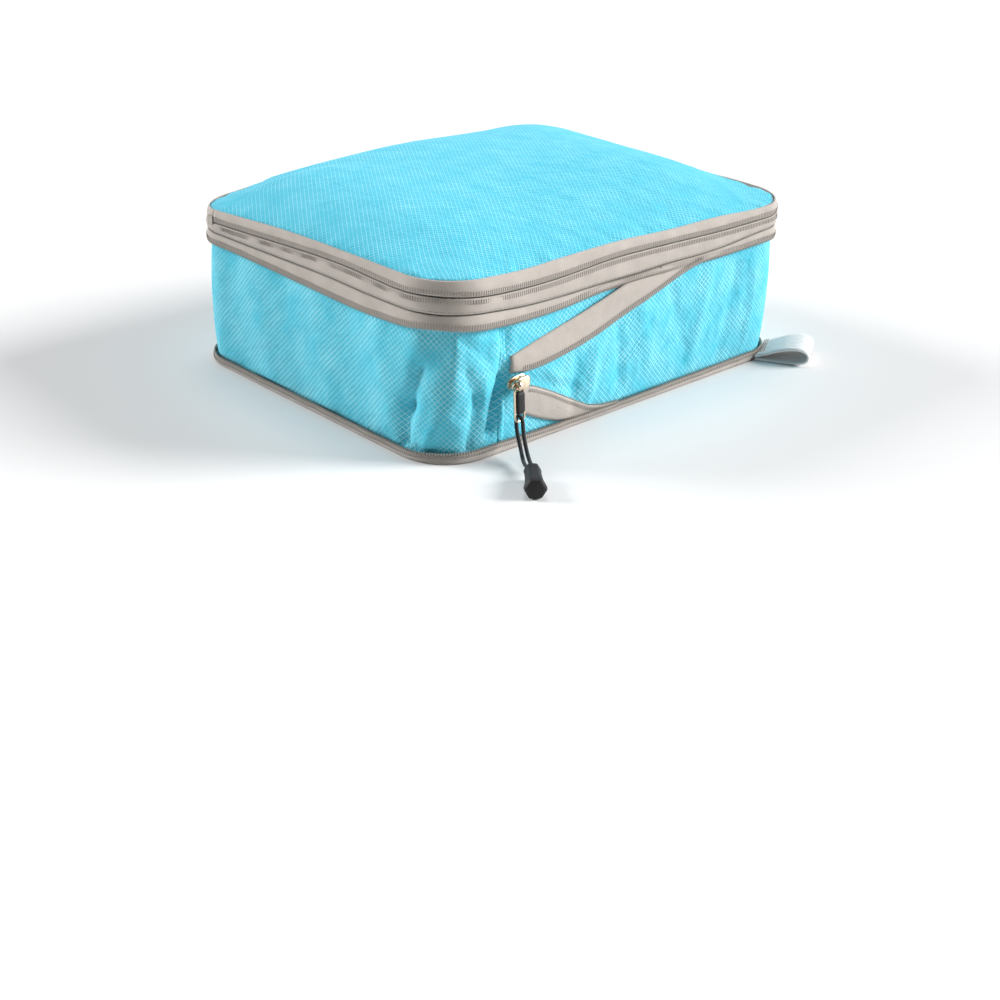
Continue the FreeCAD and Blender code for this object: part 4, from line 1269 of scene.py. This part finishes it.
def build_grip():
    """The six-sided moulded grip on the cord's ends: a collar, a waist and a wider butt."""
    ahead, side = level_axes(GRIP_HEADING)
    up = np.array([0.0, 0.0, 1.0])
    mouth = (np.array(CORD_ROUTE[0]) + np.array(CORD_ROUTE[-1])) / 2 / MM
    profile = [(0.0, 2.6, 0.35), (0.25, 3.4, 0.3), (0.9, 3.75, 0.2), (2.4, 3.85, 0.1), (3.0, 3.65, 0.1),
               (8.0, 3.75, 0.0), (14.0, 4.05, 0.0), (17.0, 4.6, 0.0), (19.4, 5.0, 0.0), (20.8, 4.9, 0.05),
               (21.6, 4.3, 0.15), (21.9, 3.2, 0.3)]
    section = []
    for k in range(36):
        turn = 2 * math.pi * k / 36
        flat = 1 / max(abs(math.cos((turn + math.pi / 6) % (math.pi / 3) - math.pi / 6)), 0.5)
        section.append((turn, min(flat, 1.11)))
    points, faces = [], []
    for along, apothem, rounding in profile:
        for turn, flat in section:
            reach = apothem * (flat * (1 - rounding) + rounding)
            points.append(mouth + ahead * along + side * (reach * math.sin(turn))
                          + up * (reach * math.cos(turn)))
    count = len(section)
    for ring in range(len(profile) - 1):
        for k in range(count):
            a, b = ring * count + k, ring * count + (k + 1) % count
            faces.append((a, a + count, b + count, b))
    faces.append(tuple(range(count)))
    faces.append(tuple(reversed([(len(profile) - 1) * count + k for k in range(count)])))
    mesh_object("pull_grip", points, faces)
    return publish("pull_grip", "comp_pull", "rubber", ["comp_pull_end"])


def finish_carried_nodes():
    """The small stops keep their CAD shape and take a moulded plastic finish."""
    for name in ("comp_zip_end_stop", "main_zip_stop_left", "main_zip_stop_right"):
        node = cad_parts[name]
        node.data.materials.clear()
        node.data.materials.append(MATERIALS["coil"])


# ---------------------------------------------------------------- stage

FLOOR_REACH = 6.0
LAMP_ANGLE = 0.5
# Each lamp's name, the direction it stands in and its strength.
LAMPS = (("key", (1.2, -0.85, 0.72), 5.8), ("fill", (-0.85, 1.28, 0.72), 3.6),
         ("top", (0.25, 0.35, 1.5), 0.8))


def build_stage():
    """A pale floor, a soft sky and three wide soft lamps far away."""
    mesh = bpy.data.meshes.new("floor")
    corners = [(x * FLOOR_REACH, y * FLOOR_REACH, 0) for x, y in ((-1, -1), (1, -1), (1, 1), (-1, 1))]
    mesh.from_pydata(corners, [], [(0, 1, 2, 3)])
    ground = new_object("floor", mesh)
    pale = bpy.data.materials.new("pale_floor")
    pale.use_nodes = True
    shader = pale.node_tree.nodes["Principled BSDF"]
    shader.inputs["Base Color"].default_value = (0.73, 0.73, 0.73, 1.0)
    shader.inputs["Roughness"].default_value = 0.6
    mesh.materials.append(pale)
    scene.view_settings.view_transform = "Standard"
    world = bpy.data.worlds.new("sky")
    scene.world = world
    world.use_nodes = True
    tree = world.node_tree
    soft = tree.nodes["Background"]
    soft.inputs["Color"].default_value = (0.95, 0.97, 1.0, 1.0)
    soft.inputs["Strength"].default_value = 0.16
    seen = tree.nodes.new("ShaderNodeBackground")
    seen.inputs["Color"].default_value = (1.0, 1.0, 1.0, 1.0)
    choice = tree.nodes.new("ShaderNodeMixShader")
    path = tree.nodes.new("ShaderNodeLightPath")
    tree.links.new(path.outputs["Is Camera Ray"], choice.inputs[0])
    tree.links.new(soft.outputs[0], choice.inputs[1])
    tree.links.new(seen.outputs[0], choice.inputs[2])
    tree.links.new(choice.outputs[0], tree.nodes["World Output"].inputs[0])
    for name, place, power in LAMPS:
        light = bpy.data.lights.new(name, "SUN")
        light.energy = power
        light.angle = LAMP_ANGLE
        lamp = new_object(name, light)
        lamp.location = place
        lamp.rotation_euler = (Vector((0, 0, 0.05)) - Vector(place)).to_track_quat("-Z", "Y").to_euler()


make_camera()
build_pulls()
build_gusset()
build_gusset_seam()
build_start_tapes()
build_bands()
build_lid()
build_floor()
build_loop()
finish_carried_nodes()
build_stage()
